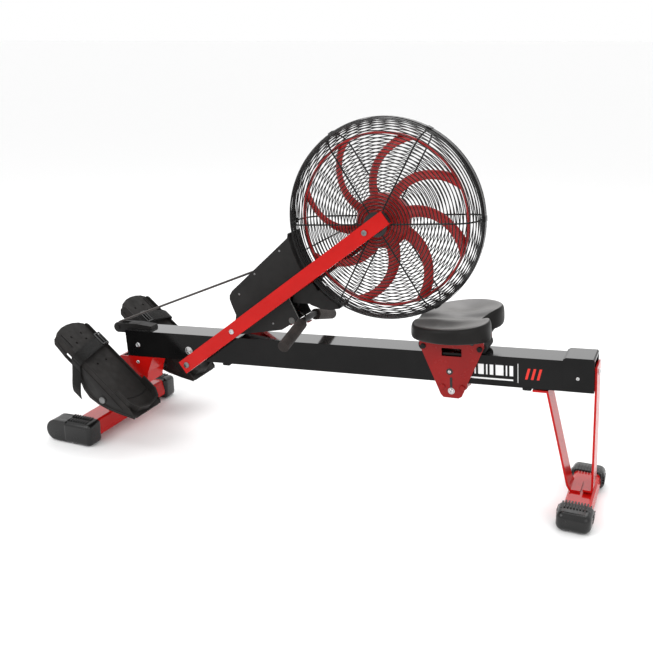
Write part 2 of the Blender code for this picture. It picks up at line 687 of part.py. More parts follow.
def make_cage():
    """Two wire guards, with fewer rings than the finished surface shows."""
    for word, side in (("near", -1), ("far", 1)):
        plate_y = side * (CAGE_HALF - 0.001)
        plate = lathe_mesh([(AXLE_RADIUS + GAP, plate_y - side * 0.003), (0.042, plate_y - side * 0.003),
                            (0.042, plate_y + side * 0.0015), (AXLE_RADIUS + GAP, plate_y + side * 0.0015)],
                           32, closed_loop=True)
        cage = at_hub(plate, "cage_" + word)
        for i in range(CAGE_SPOKES):
            angle = CAGE_TURN + 2 * pi * i / CAGE_SPOKES
            join(cage, at_hub(spoke_mesh(angle, side, 0.0024)))
        for k in range(CAGE_RINGS):
            radius = 0.085 + (CAGE_FLAT + 0.035 - 0.085) * k / (CAGE_RINGS - 1)
            join(cage, at_hub(ring_mesh(radius, side * cage_profile(radius), CAGE_WIRE)))
        rim_y = side * 0.0040
        rim = lathe_mesh([(CAGE_RADIUS - 0.006, rim_y - side * 0.0035), (CAGE_RADIUS, rim_y - side * 0.0035),
                          (CAGE_RADIUS, rim_y + side * 0.0035), (CAGE_RADIUS - 0.006, rim_y + side * 0.0035)],
                         48, closed_loop=True)
        join(cage, at_hub(rim))


def make_cage_rim():
    """The band that closes the two guards' edges, with its six clips."""
    inner = CAGE_RADIUS + GAP
    outer = inner + 0.0015
    band = lathe_mesh([(inner, -0.008), (outer, -0.008), (outer, 0.008), (inner, 0.008)], 48, closed_loop=True)
    rim = at_hub(band, "cage_rim", "moulded")
    for i in range(CAGE_SPOKES):
        angle = CAGE_TURN + 2 * pi * i / CAGE_SPOKES
        frame = Matrix.Translation((HUB_X, 0.0, HUB_Z)) @ Matrix.Rotation(-angle, 4, "Y")
        clip = slab("tool", (outer - 0.001, -0.010, -0.008), (outer + 0.003, 0.010, 0.008), "moulded", frame,
                    bevel=0.0010)
        join(rim, clip)


def blade_mesh(angle, steps=7):
    """A swept fan blade: a thin plate curving clockwise from the hub to the outer ring."""
    bm = bmesh.new()
    rows = []
    for k in range(steps + 1):
        f = k / steps
        radius = FAN_HUB - 0.006 + (WHEEL_RING - 0.001 - FAN_HUB + 0.006) * f
        sweep = angle - radians(52) * f ** 1.6
        half_chord = 0.016 + 0.003 * sin(pi * f)
        spread = half_chord / radius
        row = []
        for turn, y in ((-spread, -FAN_HALF), (spread, FAN_HALF)):
            for offset in (-0.0012, 0.0012):
                a = sweep + turn + offset / radius
                row.append(bm.verts.new((radius * cos(a), FAN_Y + y, radius * sin(a))))
        rows.append([row[0], row[1], row[3], row[2]])
    for a, b in zip(rows, rows[1:]):
        for i in range(4):
            j = (i + 1) % 4
            bm.faces.new((a[i], a[j], b[j], b[i]))
    bm.faces.new(list(reversed(rows[0])))
    bm.faces.new(rows[-1])
    return bm


def make_fan_wheel():
    half = FAN_HALF
    profile = [(AXLE_RADIUS + 0.0005, -half - 0.006), (0.020, -half - 0.006), (0.024, -half),
               (FAN_HUB - 0.004, -half), (FAN_HUB, -half + 0.004), (FAN_HUB, half - 0.004),
               (FAN_HUB - 0.004, half), (AXLE_RADIUS + 0.0005, half)]
    hub = lathe_mesh([(r, FAN_Y + y) for r, y in profile], 36, closed_loop=True)
    wheel = at_hub(hub, "fan_wheel", "fan_red")
    ring = [(WHEEL_RING - 0.003, -0.006), (WHEEL_RING + 0.003, -0.006),
            (WHEEL_RING + 0.003, 0.006), (WHEEL_RING - 0.003, 0.006)]
    for i in range(FAN_BLADES):
        join(wheel, at_hub(blade_mesh(radians(20) + 2 * pi * i / FAN_BLADES), look="fan_red"))
    join(wheel, at_hub(lathe_mesh([(r, FAN_Y + y) for r, y in ring], 48, closed_loop=True), look="fan_red"))
    wheel.data.transform(Matrix.Translation((-HUB_X, 0.0, -HUB_Z)))
    wheel.location = (HUB_X, 0.0, HUB_Z)


def make_sprocket():
    teeth = 12
    outline = []
    for i in range(teeth):
        for f, r in ((0.0, SPROCKET_RADIUS - 0.002), (0.25, SPROCKET_RADIUS + 0.002),
                     (0.5, SPROCKET_RADIUS + 0.002), (0.75, SPROCKET_RADIUS - 0.002)):
            a = 2 * pi * (i + f) / teeth
            outline.append((HUB_X + r * cos(a), HUB_Z + r * sin(a)))
    sprocket = prism("drive_sprocket", outline, SPROCKET_Y - 0.0012, SPROCKET_Y + 0.0012, "steel")
    hub = rod("tool", HUB_X, HUB_Z, 0.015, FAN_Y + FAN_HALF + 0.0010, SPROCKET_Y + 0.010, "steel", 20)
    join(sprocket, hub)
    cut(sprocket, hole_tool(HUB_X, HUB_Z, AXLE_RADIUS + 0.0004, 0.0, 0.06))
    sprocket.data.transform(Matrix.Translation((-HUB_X, 0.0, -HUB_Z)))
    sprocket.location = (HUB_X, 0.0, HUB_Z)


def make_idlers():
    end = COVER_HALF - COVER_WALL - GAP
    near = SPROCKET_Y - 0.008
    far = SPROCKET_Y + 0.008
    for name, spot in (("mouth_idler", MOUTH_IDLER), ("cord_idler", CORD_IDLER)):
        lathe(name, [(0, -end), (0.0050, -end), (0.0050, near), (0.0165, near), (IDLER_RADIUS, near + 0.004),
                     (IDLER_RADIUS, far - 0.004), (0.0165, far), (0.0050, far), (0.0050, end), (0, end)],
              spot[0], spot[1], "moulded", 16)


def ribbon(name, points, half_width, half_thick, look):
    """A band of rectangular section along (x, y, z) points, its width along Y."""
    bm = bmesh.new()
    rows = []
    for i, p in enumerate(points):
        ahead = points[min(i + 1, len(points) - 1)]
        behind = points[max(i - 1, 0)]
        run = Vector((ahead[0] - behind[0], ahead[2] - behind[2])).normalized()
        row = []
        for across, up in ((-1, -1), (1, -1), (1, 1), (-1, 1)):
            row.append(bm.verts.new((p[0] - run.y * up * half_thick, p[1] + across * half_width,
                                     p[2] + run.x * up * half_thick)))
        rows.append(row)
    for a, b in zip(rows, rows[1:]):
        for i in range(4):
            j = (i + 1) % 4
            bm.faces.new((a[i], a[j], b[j], b[i]))
    bm.faces.new(list(reversed(rows[0])))
    bm.faces.new(rows[-1])
    return add_object(name, bm, look)


def cross_tangent(a, reach_a, b, reach_b, turn):
    """Direction of the straight run that leaves circle a on one side and meets circle b on the other."""
    away = Vector((b[0] - a[0], b[1] - a[1]))
    return atan2(away.y, away.x) + turn * asin((reach_a + reach_b) / away.length)


def make_chain():
    """From the handle round the mouth idler, over the sprocket and back to the return cord."""
    idler_reach = IDLER_RADIUS + CHAIN_HALF_THICK + GAP
    wheel_reach = SPROCKET_RADIUS + 0.002 + CHAIN_HALF_THICK + GAP
    hub = (HUB_X, HUB_Z)
    pull = cross_tangent(MOUTH_IDLER, idler_reach, hub, wheel_reach, -1)
    back = cross_tangent(CORD_IDLER, idler_reach, hub, wheel_reach, 1)
    slack = (CORD_EXIT - pulley_point(113)).normalized()
    cord_angle = atan2(slack.z, slack.x)
    flat = arc(*MOUTH_IDLER, idler_reach, radians(255.3), pull + pi / 2, 7)
    flat += arc(*hub, wheel_reach, pull - pi / 2, back + pi / 2, 10)
    flat += arc(*CORD_IDLER, idler_reach, back - pi / 2, cord_angle - pi / 2, 2)
    points = [(HANDLE_X - BAR_RADIUS - 0.0012, 0.004, HANDLE_Z + 0.0028)]
    points += [(x, SPROCKET_Y, z) for x, z in flat]
    inward = (CORD_EXIT - pulley_point(113)).normalized()
    joint = CORD_EXIT + inward * (0.045 + 0.0030)
    points.append((joint.x, 0.004, joint.z))
    ribbon("drive_chain", points, CHAIN_HALF_WIDTH, CHAIN_HALF_THICK, "steel")


# ---------------------------------------------------------------- seat

def seat_frame():
    return BEAM @ Matrix.Translation((SEAT_S, 0.0, 0.0))


def make_carriage():
    frame = seat_frame()
    top = SEAT_BASE_T
    outline = [(-0.093, top), (-0.093, 0.066), (-0.034, -0.080), (-0.026, -0.089), (0.018, -0.090),
               (0.028, -0.084), (0.094, 0.066), (0.094, top)]
    for word, side in (("near", -1), ("far", 1)):
        y0 = side * PLATE_INNER
        y1 = side * (PLATE_INNER + PLATE_THICK)
        plate = prism("seat_plate_" + word, outline, y0, y1, "red_paint", frame)
        window = slab("tool", (-0.028, -0.2, 0.036), (0.030, 0.2, 0.060), "steel", frame)
        cut(plate, window)
        for s, t in roller_spots():
            p = frame @ Vector((s, 0.0, t))
            cut(plate, hole_tool(p.x, p.z, 0.0043))
    slab("seat_base", (-0.100, -0.060, top + GAP), (0.100, 0.060, top + 0.006), "moulded", frame, bevel=0.0012)


def roller_spots():
    top = BEAM_HEIGHT / 2
    upper = top + ROLLER_RADIUS + GAP
    lower = -top - LOWER_ROLLER_RADIUS - GAP
    return [(-ROLLER_SPREAD, upper), (ROLLER_SPREAD, upper),
            (-LOWER_ROLLER_SPREAD + 0.008, lower), (LOWER_ROLLER_SPREAD - 0.006, lower)]


def make_rollers():
    frame = seat_frame()
    names = ("roller_top_front", "roller_top_rear", "roller_low_front", "roller_low_rear")
    reach = PLATE_INNER + PLATE_THICK + GAP
    for name, (s, t) in zip(names, roller_spots()):
        p = frame @ Vector((s, 0.0, t))
        radius = ROLLER_RADIUS if "top" in name else LOWER_ROLLER_RADIUS
        half = [(radius, 0.038), (radius - 0.002, 0.040), (0.0040, 0.040), (0.0040, reach), (0.0080, reach),
                (0.0080, reach + 0.003), (0.0065, reach + 0.0045), (0, reach + 0.0045)]
        lathe(name, [(r, -y) for r, y in reversed(half)] + half, p.x, p.z, "rubber", 16)


def seat_height(u, v):
    """Saddle surface: u from -1 front to 1 rear, v from -1 to 1 across."""
    lobe = 1.0 - (1.0 - abs(v) ** 1.5) * 0.55
    rise = 0.030 + 0.034 * (0.5 + 0.5 * u)
    dish = 0.010 * (1.0 - u * u) * (1.0 - (2 * abs(v) - 1.0) ** 2)
    return rise * lobe + 0.014 - dish


def make_seat():
    """The saddle as one plain closed form: flat below, two lobes with a dip between them."""
    frame = seat_frame()
    bm = bmesh.new()
    nu, nv = 10, 16
    base = SEAT_BASE_T + 0.006 + GAP
    grid_top = []
    grid_low = []
    for i in range(nu + 1):
        u = -1 + 2 * i / nu
        row_top = []
        row_low = []
        for j in range(nv + 1):
            v = -1 + 2 * j / nv
            x, y = saddle_plan(u, v)
            row_low.append(bm.verts.new((x, y, base)))
            row_top.append(bm.verts.new((x * 0.94, y * 0.95, base + seat_height(u, v))))
        grid_top.append(row_top)
        grid_low.append(row_low)
    for i in range(nu):
        for j in range(nv):
            bm.faces.new((grid_top[i][j], grid_top[i + 1][j], grid_top[i + 1][j + 1], grid_top[i][j + 1]))
            bm.faces.new((grid_low[i][j], grid_low[i][j + 1], grid_low[i + 1][j + 1], grid_low[i + 1][j]))
    border = ([(i, 0) for i in range(nu)] + [(nu, j) for j in range(nv)]
              + [(i, nv) for i in range(nu, 0, -1)] + [(0, j) for j in range(nv, 0, -1)])
    for (a, b), (c, d) in zip(border, border[1:] + border[:1]):
        bm.faces.new((grid_low[a][b], grid_low[c][d], grid_top[c][d], grid_top[a][b]))
    bm.transform(frame)
    add_object("seat_pad", bm, "saddle")


def saddle_plan(u, v):
    """Plan of the saddle: a rounded rectangle with a notch in the middle of its rear edge."""
    p = 3.2
    scale = (abs(u) ** p + abs(v) ** p) ** (1 / p)
    largest = max(abs(u), abs(v))
    k = largest / scale if scale > 1e-9 else 1.0
    x = u * k * SEAT_LENGTH / 2
    y = v * k * SEAT_WIDTH / 2
    if u > 0:
        x -= 0.030 * u * max(0.0, 1.0 - (v / 0.42) ** 2)
    return x, y


# ---------------------------------------------------------------- footplates

def pedal_frame(side):
    place = Matrix.Translation((PEDAL_X, side * PEDAL_CENTRE, PEDAL_Z))
    return place @ Matrix.Rotation(PEDAL_SLOPE, 4, "Y")


def pedal_plan():
    """Plan outline of the plate in its own (u, y): round toe, slightly rounded heel."""
    half = PEDAL_HALF
    toe = [(PEDAL_TOE + 0.034 - 0.034 * sin(a), half * cos(a)) for a in
           [pi * i / 8 for i in range(9)]]
    heel = [(PEDAL_HEEL - 0.006, -half), (PEDAL_HEEL, -half * 0.8), (PEDAL_HEEL, half * 0.8),
            (PEDAL_HEEL - 0.006, half)]
    return toe + heel


def flat_prism(name, outline, z0, z1, look, frame):
    """Extrude an outline of (x, y) points from z0 to z1."""
    bm = bmesh.new()
    base = [bm.verts.new((x, y, z0)) for x, y in outline]
    face = bm.faces.new(base)
    grown_faces = bmesh.ops.extrude_face_region(bm, geom=[face])
    verts = [v for v in grown_faces["geom"] if isinstance(v, bmesh.types.BMVert)]
    bmesh.ops.translate(bm, verts=verts, vec=(0.0, 0.0, z1 - z0))
    bm.transform(frame)
    return add_object(name, bm, look)


def pedal_side():
    """Side wall of a footplate: a low rim above the surface and a belly round the axle below it."""
    rim = PEDAL_SURFACE + 0.007
    return [(-0.246, rim - 0.004), (-0.240, rim), (0.088, rim), (0.112, rim - 0.006), (0.1185, 0.036),
            (0.075, 0.010), (0.030, -0.014), (-0.002, -0.026), (-0.038, -0.033), (-0.070, -0.027),
            (-0.098, -0.012), (-0.145, 0.010), (-0.182, 0.010), (-0.236, 0.016), (-0.2465, 0.030)]


def make_pedal(word, side):
    frame = pedal_frame(side)
    top = PEDAL_SURFACE
    plate = flat_prism("footplate_" + word, pedal_plan(), top - PEDAL_SKIN, top, "moulded", frame)
    wall = PEDAL_WALL
    for edge in (-1, 1):
        y0 = edge * (PEDAL_HALF + 0.0004)
        y1 = edge * (PEDAL_HALF - wall)
        join(plate, prism("tool", pedal_side(), y0, y1, "moulded", frame))
    cup = ([(0.020, PEDAL_HALF - 0.001), (0.075, PEDAL_HALF - 0.001), (0.104, PEDAL_HALF * 0.72),
            (0.114, 0.0), (0.104, -PEDAL_HALF * 0.72), (0.075, -PEDAL_HALF + 0.001), (0.020, -PEDAL_HALF + 0.001),
            (0.020, -PEDAL_HALF + 0.006), (0.072, -PEDAL_HALF + 0.007), (0.099, -PEDAL_HALF * 0.66),
            (0.108, 0.0), (0.099, PEDAL_HALF * 0.66), (0.072, PEDAL_HALF - 0.007), (0.020, PEDAL_HALF - 0.006)])
    join(plate, flat_prism("tool", cup, top - 0.004, top + 0.024, "moulded", frame))
    hub_circle = arc(0.0, 0.0, 0.016, 0, 2 * pi * 15 / 16, 15)
    join(plate, prism("tool", hub_circle, -PEDAL_HALF, PEDAL_HALF, "moulded", frame))
    holes = []
    for u, y in ((-0.222, -0.024), (-0.222, 0.024), (-0.196, -0.024), (-0.196, 0.024), (-0.100, -0.022),
                 (-0.100, 0.022)):
        bm = bmesh.new()
        shape = Matrix.Translation((u, y, top))
        bmesh.ops.create_cone(bm, cap_ends=True, segments=10, radius1=0.0045, radius2=0.0045, depth=0.05,
                              matrix=shape)
        bm.transform(frame)
        holes.append(add_object("tool", bm, "moulded"))
    slots = [slab("tool", (STRAP_U - STRAP_WIDTH / 2 - 0.002, -0.1, 0.0160),
                  (STRAP_U + STRAP_WIDTH / 2 + 0.002, 0.1, 0.0300), "moulded", frame)]
    cut(plate, *holes, *slots, hole_tool(PEDAL_X, PEDAL_Z, 0.0084))
    plate.data.transform(Matrix.Translation((-PEDAL_X, -side * PEDAL_CENTRE, -PEDAL_Z)))
    plate.location = (PEDAL_X, side * PEDAL_CENTRE, PEDAL_Z)


def make_strap(word, side):
    """The foot strap: over the plate, through the near wall's slot and hanging down outside it."""
    frame = pedal_frame(side)
    half = PEDAL_HALF
    top = PEDAL_SURFACE
    path = [(half - 0.012, 0.022), (half + 0.004, 0.022), (half + 0.0075, 0.030), (half + 0.006, top + 0.012),
            (half - 0.012, top + 0.0165), (0.0, top + 0.019), (-half + 0.012, top + 0.0165),
            (-half - 0.005, top + 0.012), (-half - 0.0085, 0.034), (-half - 0.009, 0.006), (-half - 0.013, -0.030),
            (-half - 0.016, -0.050)]
    outline = [(-side * y, z) for y, z in strip_outline(path, STRAP_THICK)]
    bm = bmesh.new()
    low = STRAP_U - STRAP_WIDTH / 2
    base = [bm.verts.new((low, y, z)) for y, z in outline]
    face = bm.faces.new(base)
    grown_faces = bmesh.ops.extrude_face_region(bm, geom=[face])
    verts = [v for v in grown_faces["geom"] if isinstance(v, bmesh.types.BMVert)]
    bmesh.ops.translate(bm, verts=verts, vec=(STRAP_WIDTH, 0.0, 0.0))
    bm.transform(frame)
    add_object("foot_strap_" + word, bm, "webbing")
    near_edge, far_edge = sorted((-side * (half - 0.045), -side * (half - 0.017)))
    buckle = slab("strap_buckle_" + word, (STRAP_U - 0.023, near_edge, top + 0.0212),
                  (STRAP_U + 0.023, far_edge, top + 0.0252), "moulded", frame, bevel=0.0008)
    return buckle


def make_pedals():
    for word, side in (("near", -1), ("far", 1)):
        make_pedal(word, side)
        make_strap(word, side)
    reach = PEDAL_CENTRE + PEDAL_HALF + 0.0010
    half = [(0.0080, reach), (0.0120, reach), (0.0110, reach + 0.005), (0.0060, reach + 0.007), (0, reach + 0.007)]
    lathe("pedal_axle", [(r, -y) for r, y in reversed(half)] + half, PEDAL_X, PEDAL_Z, "steel", 20)


# ---------------------------------------------------------------- handle

def bent_bar(name, radius, start, end, look, steps=12):
    """A round bar along the handle's line between two Y stations, ends flat."""
    stations = [start, end]
    for bend in (-HANDLE_BEND, HANDLE_BEND):
        if start < bend < end:
            stations.append(bend)
    stations.sort()
    bm = bmesh.new()
    rows = []
    for y in stations:
        beyond = max(0.0, abs(y) - HANDLE_BEND)
        centre = Vector((0.0, y, -beyond * sin(HANDLE_DROP) / cos(HANDLE_DROP)))
        if abs(y) > HANDLE_BEND + 1e-6:
            lean = HANDLE_DROP if y > 0 else -HANDLE_DROP
        elif abs(abs(y) - HANDLE_BEND) < 1e-6 and start < y < end:
            lean = HANDLE_DROP / 2 if y > 0 else -HANDLE_DROP / 2
        else:
            lean = 0.0
        row = []
        for i in range(steps):
            a = 2 * pi * i / steps
            offset = Vector((radius * cos(a), 0.0, radius * sin(a)))
            row.append(bm.verts.new(centre + Matrix.Rotation(-lean, 3, "X") @ offset))
        rows.append(row)
    for a, b in zip(rows, rows[1:]):
        for i in range(steps):
            j = (i + 1) % steps
            bm.faces.new((a[i], a[j], b[j], b[i]))
    bm.faces.new(list(reversed(rows[0])))
    bm.faces.new(rows[-1])
    bm.transform(Matrix.Translation((HANDLE_X, 0.0, HANDLE_Z)))
    return add_object(name, bm, look, (HANDLE_X, 0.0, HANDLE_Z))


def grip(name, side):
    inner = 0.052
    outer = HANDLE_HALF
    low, high = sorted((side * inner, side * outer))
    sleeve = bent_bar(name, GRIP_RADIUS, low, high, "foam", 16)
    bore_low, bore_high = sorted((side * (inner - 0.02), side * (outer - 0.006)))
    bore = bent_bar("tool", BAR_RADIUS + GAP, bore_low, bore_high, "steel", 12)
    return cut(sleeve, bore)


def make_handle():
    reach = HANDLE_HALF - 0.008
    bent_bar("handle_bar", BAR_RADIUS, -reach, reach, "steel", 12)
    grip("grip_near", -1)
    grip("grip_far", 1)


def build():
    clear_scene()
    make_beam()
    make_beam_ends()
    make_bumpers()
    make_front_foot()
    make_rear_foot()
    make_rear_legs()
    make_front_post()
    make_cross_bolts()
    make_front_pulley()
    make_cord()
    make_arms()
    make_covers()
    make_chain_guard()
    make_cradle()
    make_fan_axle()
    make_cage()
    make_cage_rim()
    make_fan_wheel()
    make_sprocket()
    make_idlers()
    make_chain()
    make_carriage()
    make_rollers()
    make_seat()
    make_pedals()
    make_handle()


build()
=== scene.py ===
"""Looks of the air rowing machine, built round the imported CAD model."""
from math import asin, atan2, cos, exp, pi, radians, sin

import bpy
import bmesh
from mathutils import Matrix, Vector


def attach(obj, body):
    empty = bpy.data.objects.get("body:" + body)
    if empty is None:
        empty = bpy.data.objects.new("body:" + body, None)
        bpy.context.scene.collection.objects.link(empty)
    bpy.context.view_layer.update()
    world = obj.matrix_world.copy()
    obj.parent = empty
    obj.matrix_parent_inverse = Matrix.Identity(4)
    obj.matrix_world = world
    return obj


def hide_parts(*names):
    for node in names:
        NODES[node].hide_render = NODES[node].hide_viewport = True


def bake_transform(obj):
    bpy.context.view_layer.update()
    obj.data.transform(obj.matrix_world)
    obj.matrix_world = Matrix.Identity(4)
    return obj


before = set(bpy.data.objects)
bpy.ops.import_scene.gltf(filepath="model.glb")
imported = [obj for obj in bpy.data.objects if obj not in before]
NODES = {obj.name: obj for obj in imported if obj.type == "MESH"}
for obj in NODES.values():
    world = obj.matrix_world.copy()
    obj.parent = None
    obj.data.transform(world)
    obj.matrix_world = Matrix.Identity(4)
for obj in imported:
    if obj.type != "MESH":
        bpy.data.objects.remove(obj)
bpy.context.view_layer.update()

# Places and sizes of the CAD model that the finished pieces are built round. All lengths are in metres.
HUB = Vector((0.2110, 0.0, 0.7755))
AXLE_BORE = 0.0066
CAGE_TURN = radians(5.0)
CAGE_RADIUS = 0.288
BEAM = Matrix.Translation((-0.680, 0.0, 0.297)) @ Matrix.Rotation(-radians(3.97), 4, "Y")
BEAM_LENGTH = 1.510
BEAM_HALF_W = 0.043
BEAM_HALF_H = 0.044
SEAT = BEAM @ Matrix.Translation((1.120, 0.0, 0.0))
PEDAL_SLOPE = radians(39.4)
PEDAL_HALF = 0.0735
PEDAL_TOP = 0.0434
PEDAL_PIVOT = (-0.6325, 0.1765, 0.178)
STRAP_U = -0.165


# ---------------------------------------------------------------- materials

class Shader:
    """A Principled material with short calls for the textures that drive it."""

    def __init__(self, name, colour, roughness, metallic=0.0, sheen=0.0, specular=0.5):
        self.mat = bpy.data.materials.new(name)
        self.mat.use_nodes = True
        self.tree = self.mat.node_tree
        self.bsdf = self.tree.nodes["Principled BSDF"]
        self.put("Base Color", (*colour, 1.0))
        self.put("Roughness", roughness)
        self.put("Metallic", metallic)
        self.put("Coat Roughness", 0.08)
        self.put("Sheen Weight", sheen)
        self.put("Specular IOR Level", specular)
        self.coords = self.node("ShaderNodeTexCoord")
        self.height = None

    def put(self, socket, value):
        self.bsdf.inputs[socket].default_value = value

    def node(self, kind, **settings):
        made = self.tree.nodes.new(kind)
        for key, value in settings.items():
            setattr(made, key, value)
        return made

    def link(self, a, b):
        self.tree.links.new(a, b)

    def mapped(self, stretch=(1, 1, 1)):
        mapping = self.node("ShaderNodeMapping")
        mapping.inputs["Scale"].default_value = stretch
        self.link(self.coords.outputs["Object"], mapping.inputs["Vector"])
        return mapping.outputs["Vector"]

    def noise(self, scale, detail=3.0, stretch=(1, 1, 1)):
        made = self.node("ShaderNodeTexNoise")
        made.inputs["Scale"].default_value = scale
        made.inputs["Detail"].default_value = detail
        self.link(self.mapped(stretch), made.inputs["Vector"])
        return made.outputs["Fac"]

    def cells(self, scale, feature="F1"):
        made = self.node("ShaderNodeTexVoronoi", feature=feature)
        made.inputs["Scale"].default_value = scale
        self.link(self.mapped(), made.inputs["Vector"])
        return made.outputs["Distance"]

    def wave(self, scale, direction, stretch=(1, 1, 1)):
        made = self.node("ShaderNodeTexWave", bands_direction=direction)
        made.inputs["Scale"].default_value = scale
        self.link(self.mapped(stretch), made.inputs["Vector"])
        return made.outputs["Fac"]

    def math(self, operation, a, b):
        made = self.node("ShaderNodeMath", operation=operation)
        for slot, value in enumerate((a, b)):
            if isinstance(value, (int, float)):
                made.inputs[slot].default_value = value
            else:
                self.link(value, made.inputs[slot])
        return made.outputs["Value"]

    def span(self, value, low_in, high_in, low_out, high_out):
        """Value stretched from one range to another, and held at its ends."""
        made = self.node("ShaderNodeMapRange")
        limits = {"From Min": low_in, "From Max": high_in, "To Min": low_out, "To Max": high_out}
        for key, number in limits.items():
            made.inputs[key].default_value = number
        self.link(value, made.inputs["Value"])
        return made.outputs["Result"]

    def tint(self, value, a, b, low_in=0.35, high_in=0.65):
        """Base colour between a and b as value goes from low_in to high_in."""
        ramp = self.node("ShaderNodeValToRGB")
        ramp.color_ramp.elements[0].position = low_in
        ramp.color_ramp.elements[0].color = (*a, 1.0)
        ramp.color_ramp.elements[1].position = high_in
        ramp.color_ramp.elements[1].color = (*b, 1.0)
        self.link(value, ramp.inputs["Fac"])
        self.link(ramp.outputs["Color"], self.bsdf.inputs["Base Color"])

    def painted_ceiling_reflection(self, weight):
        """A clear coat on the faces that look up only. It is a painted reflection of the studio ceiling,
        which makes the tops lighter.
        """
        parts = self.node("ShaderNodeSeparateXYZ")
        self.link(self.coords.outputs["Normal"], parts.inputs["Vector"])
        # Painted reflection: the coat fades in as the faces turn upward.
        ceiling_reflection_mask = self.span(parts.outputs["Z"], 0.80, 0.97, 0.0, weight)
        self.link(ceiling_reflection_mask, self.bsdf.inputs["Coat Weight"])
        self.put("Coat IOR", 1.9)

    def rough(self, value, a, b, low_in=0.3, high_in=0.7):
        """Roughness between a and b as value goes from low_in to high_in."""
        self.link(self.span(value, low_in, high_in, a, b), self.bsdf.inputs["Roughness"])

    def bump(self, value, distance):
        """Relief of that depth, laid over any relief that is already there."""
        made = self.node("ShaderNodeBump")
        made.inputs["Distance"].default_value = distance
        made.inputs["Strength"].default_value = 1.0
        self.link(value, made.inputs["Height"])
        if self.height is not None:
            self.link(self.height, made.inputs["Normal"])
        self.height = made.outputs["Normal"]
        self.link(self.height, self.bsdf.inputs["Normal"])


def paint(name, dark, light, roughness, peel=0.00006, specular=0.16, up=0.7):
    """Sprayed gloss paint: orange peel, a faint drift of tone and of gloss, and a painted reflection, which
    is a clear coat of strength up on the faces that look up only.
    """
    s = Shader(name, light, roughness, specular=specular)
    # Painted reflection on the upward faces, so the tops look lighter.
    s.painted_ceiling_reflection(up)
    s.tint(s.noise(9.0, 4.0), dark, light, 0.3, 0.7)
    s.rough(s.noise(60.0, 5.0), roughness * 0.75, roughness * 1.35)
    s.bump(s.noise(420.0, 2.0), peel)
    return s.mat


def plastic(name, dark, light, low_rough, high_rough, grain=900.0, depth=0.00006, specular=0.22):
    """Moulded plastic with a spark-eroded grain."""
    s = Shader(name, light, low_rough, specular=specular)
    s.tint(s.noise(14.0, 5.0), dark, light, 0.3, 0.7)
    s.rough(s.noise(45.0, 4.0), low_rough, high_rough)
    s.bump(s.cells(grain), depth)
    s.bump(s.noise(grain * 0.5, 3.0), depth * 0.7)
    return s.mat


def steel(name, tone, low_rough, high_rough):
    """Brushed or turned steel of one grey tone."""
    s = Shader(name, (tone, tone, tone * 1.01), low_rough, metallic=1.0)
    s.rough(s.noise(300.0, 3.0, (1, 6, 1)), low_rough, high_rough)
    s.tint(s.noise(35.0, 4.0), (tone * 0.8,) * 3, (tone, tone, tone * 1.01))
    s.bump(s.noise(900.0, 2.0, (1, 0.1, 1)), 0.00002)
    return s.mat


def webbing(name):
    """Flat woven strap: warp ribs along it and a finer weft across."""
    s = Shader(name, (0.008, 0.008, 0.008), 0.85, sheen=0.08, specular=0.2)
    warp = s.wave(420.0, "Y")
    weft = s.wave(320.0, "X")
    weave = s.math("MULTIPLY", warp, weft)
    s.tint(weave, (0.003, 0.003, 0.003), (0.014, 0.013, 0.012), 0.1, 0.8)
    s.rough(weave, 0.95, 0.75)
    s.bump(weave, 0.0005)
    s.bump(s.noise(700.0, 3.0), 0.0001)
    return s.mat


def braided(name):
    """Braided cover of a cord: two sets of threads crossing."""
    s = Shader(name, (0.02, 0.018, 0.017), 0.8, sheen=0.4)
    a = s.wave(170.0, "DIAGONAL")
    b = s.wave(170.0, "DIAGONAL", (1, 1, -1))
    weave = s.math("MAXIMUM", a, b)
    s.tint(weave, (0.005, 0.004, 0.004), (0.034, 0.022, 0.018), 0.3, 0.95)
    s.bump(weave, 0.0005)
    return s.mat


def foam(name):
    """Open foam with fine pores."""
    s = Shader(name, (0.024, 0.018, 0.016), 0.9, sheen=0.1, specular=0.25)
    pores = s.cells(650.0)
    s.tint(s.noise(25.0, 6.0), (0.014, 0.011, 0.010), (0.034, 0.026, 0.023), 0.3, 0.7)
    s.rough(pores, 0.8, 0.98)
    s.bump(pores, 0.0005)
    s.bump(s.noise(110.0, 4.0), 0.0004)
    return s.mat


def saddle_skin(name):
    """Grained skin of a moulded saddle, with a painted reflection on top, which is a soft, warm-tinted coat
    on the faces that look up only.
    """
    s = Shader(name, (0.010, 0.009, 0.0085), 0.42, specular=0.18)
    s.tint(s.noise(11.0, 5.0), (0.0032, 0.0029, 0.0027), (0.0075, 0.0066, 0.0060), 0.3, 0.7)
    # Painted reflection: a full coat on the upward faces, with a warm tint.
    s.painted_ceiling_reflection(1.0)
    s.put("Coat Roughness", 0.40)
    s.put("Coat Tint", (1.0, 0.94, 0.90, 1.0))
    s.rough(s.noise(30.0, 4.0), 0.36, 0.50)
    s.bump(s.cells(520.0, "SMOOTH_F1"), 0.00012)
    s.bump(s.noise(230.0, 5.0), 0.00008)
    return s.mat


def fan_paint(name):
    """Dark red of the moulded fan."""
    s = Shader(name, (0.30, 0.008, 0.008), 0.32, specular=0.4)
    s.tint(s.noise(16.0, 4.0), (0.26, 0.006, 0.006), (0.40, 0.012, 0.010), 0.3, 0.7)
    s.rough(s.noise(80.0, 3.0), 0.30, 0.46)
    s.bump(s.noise(500.0, 3.0), 0.00006)
    return s.mat


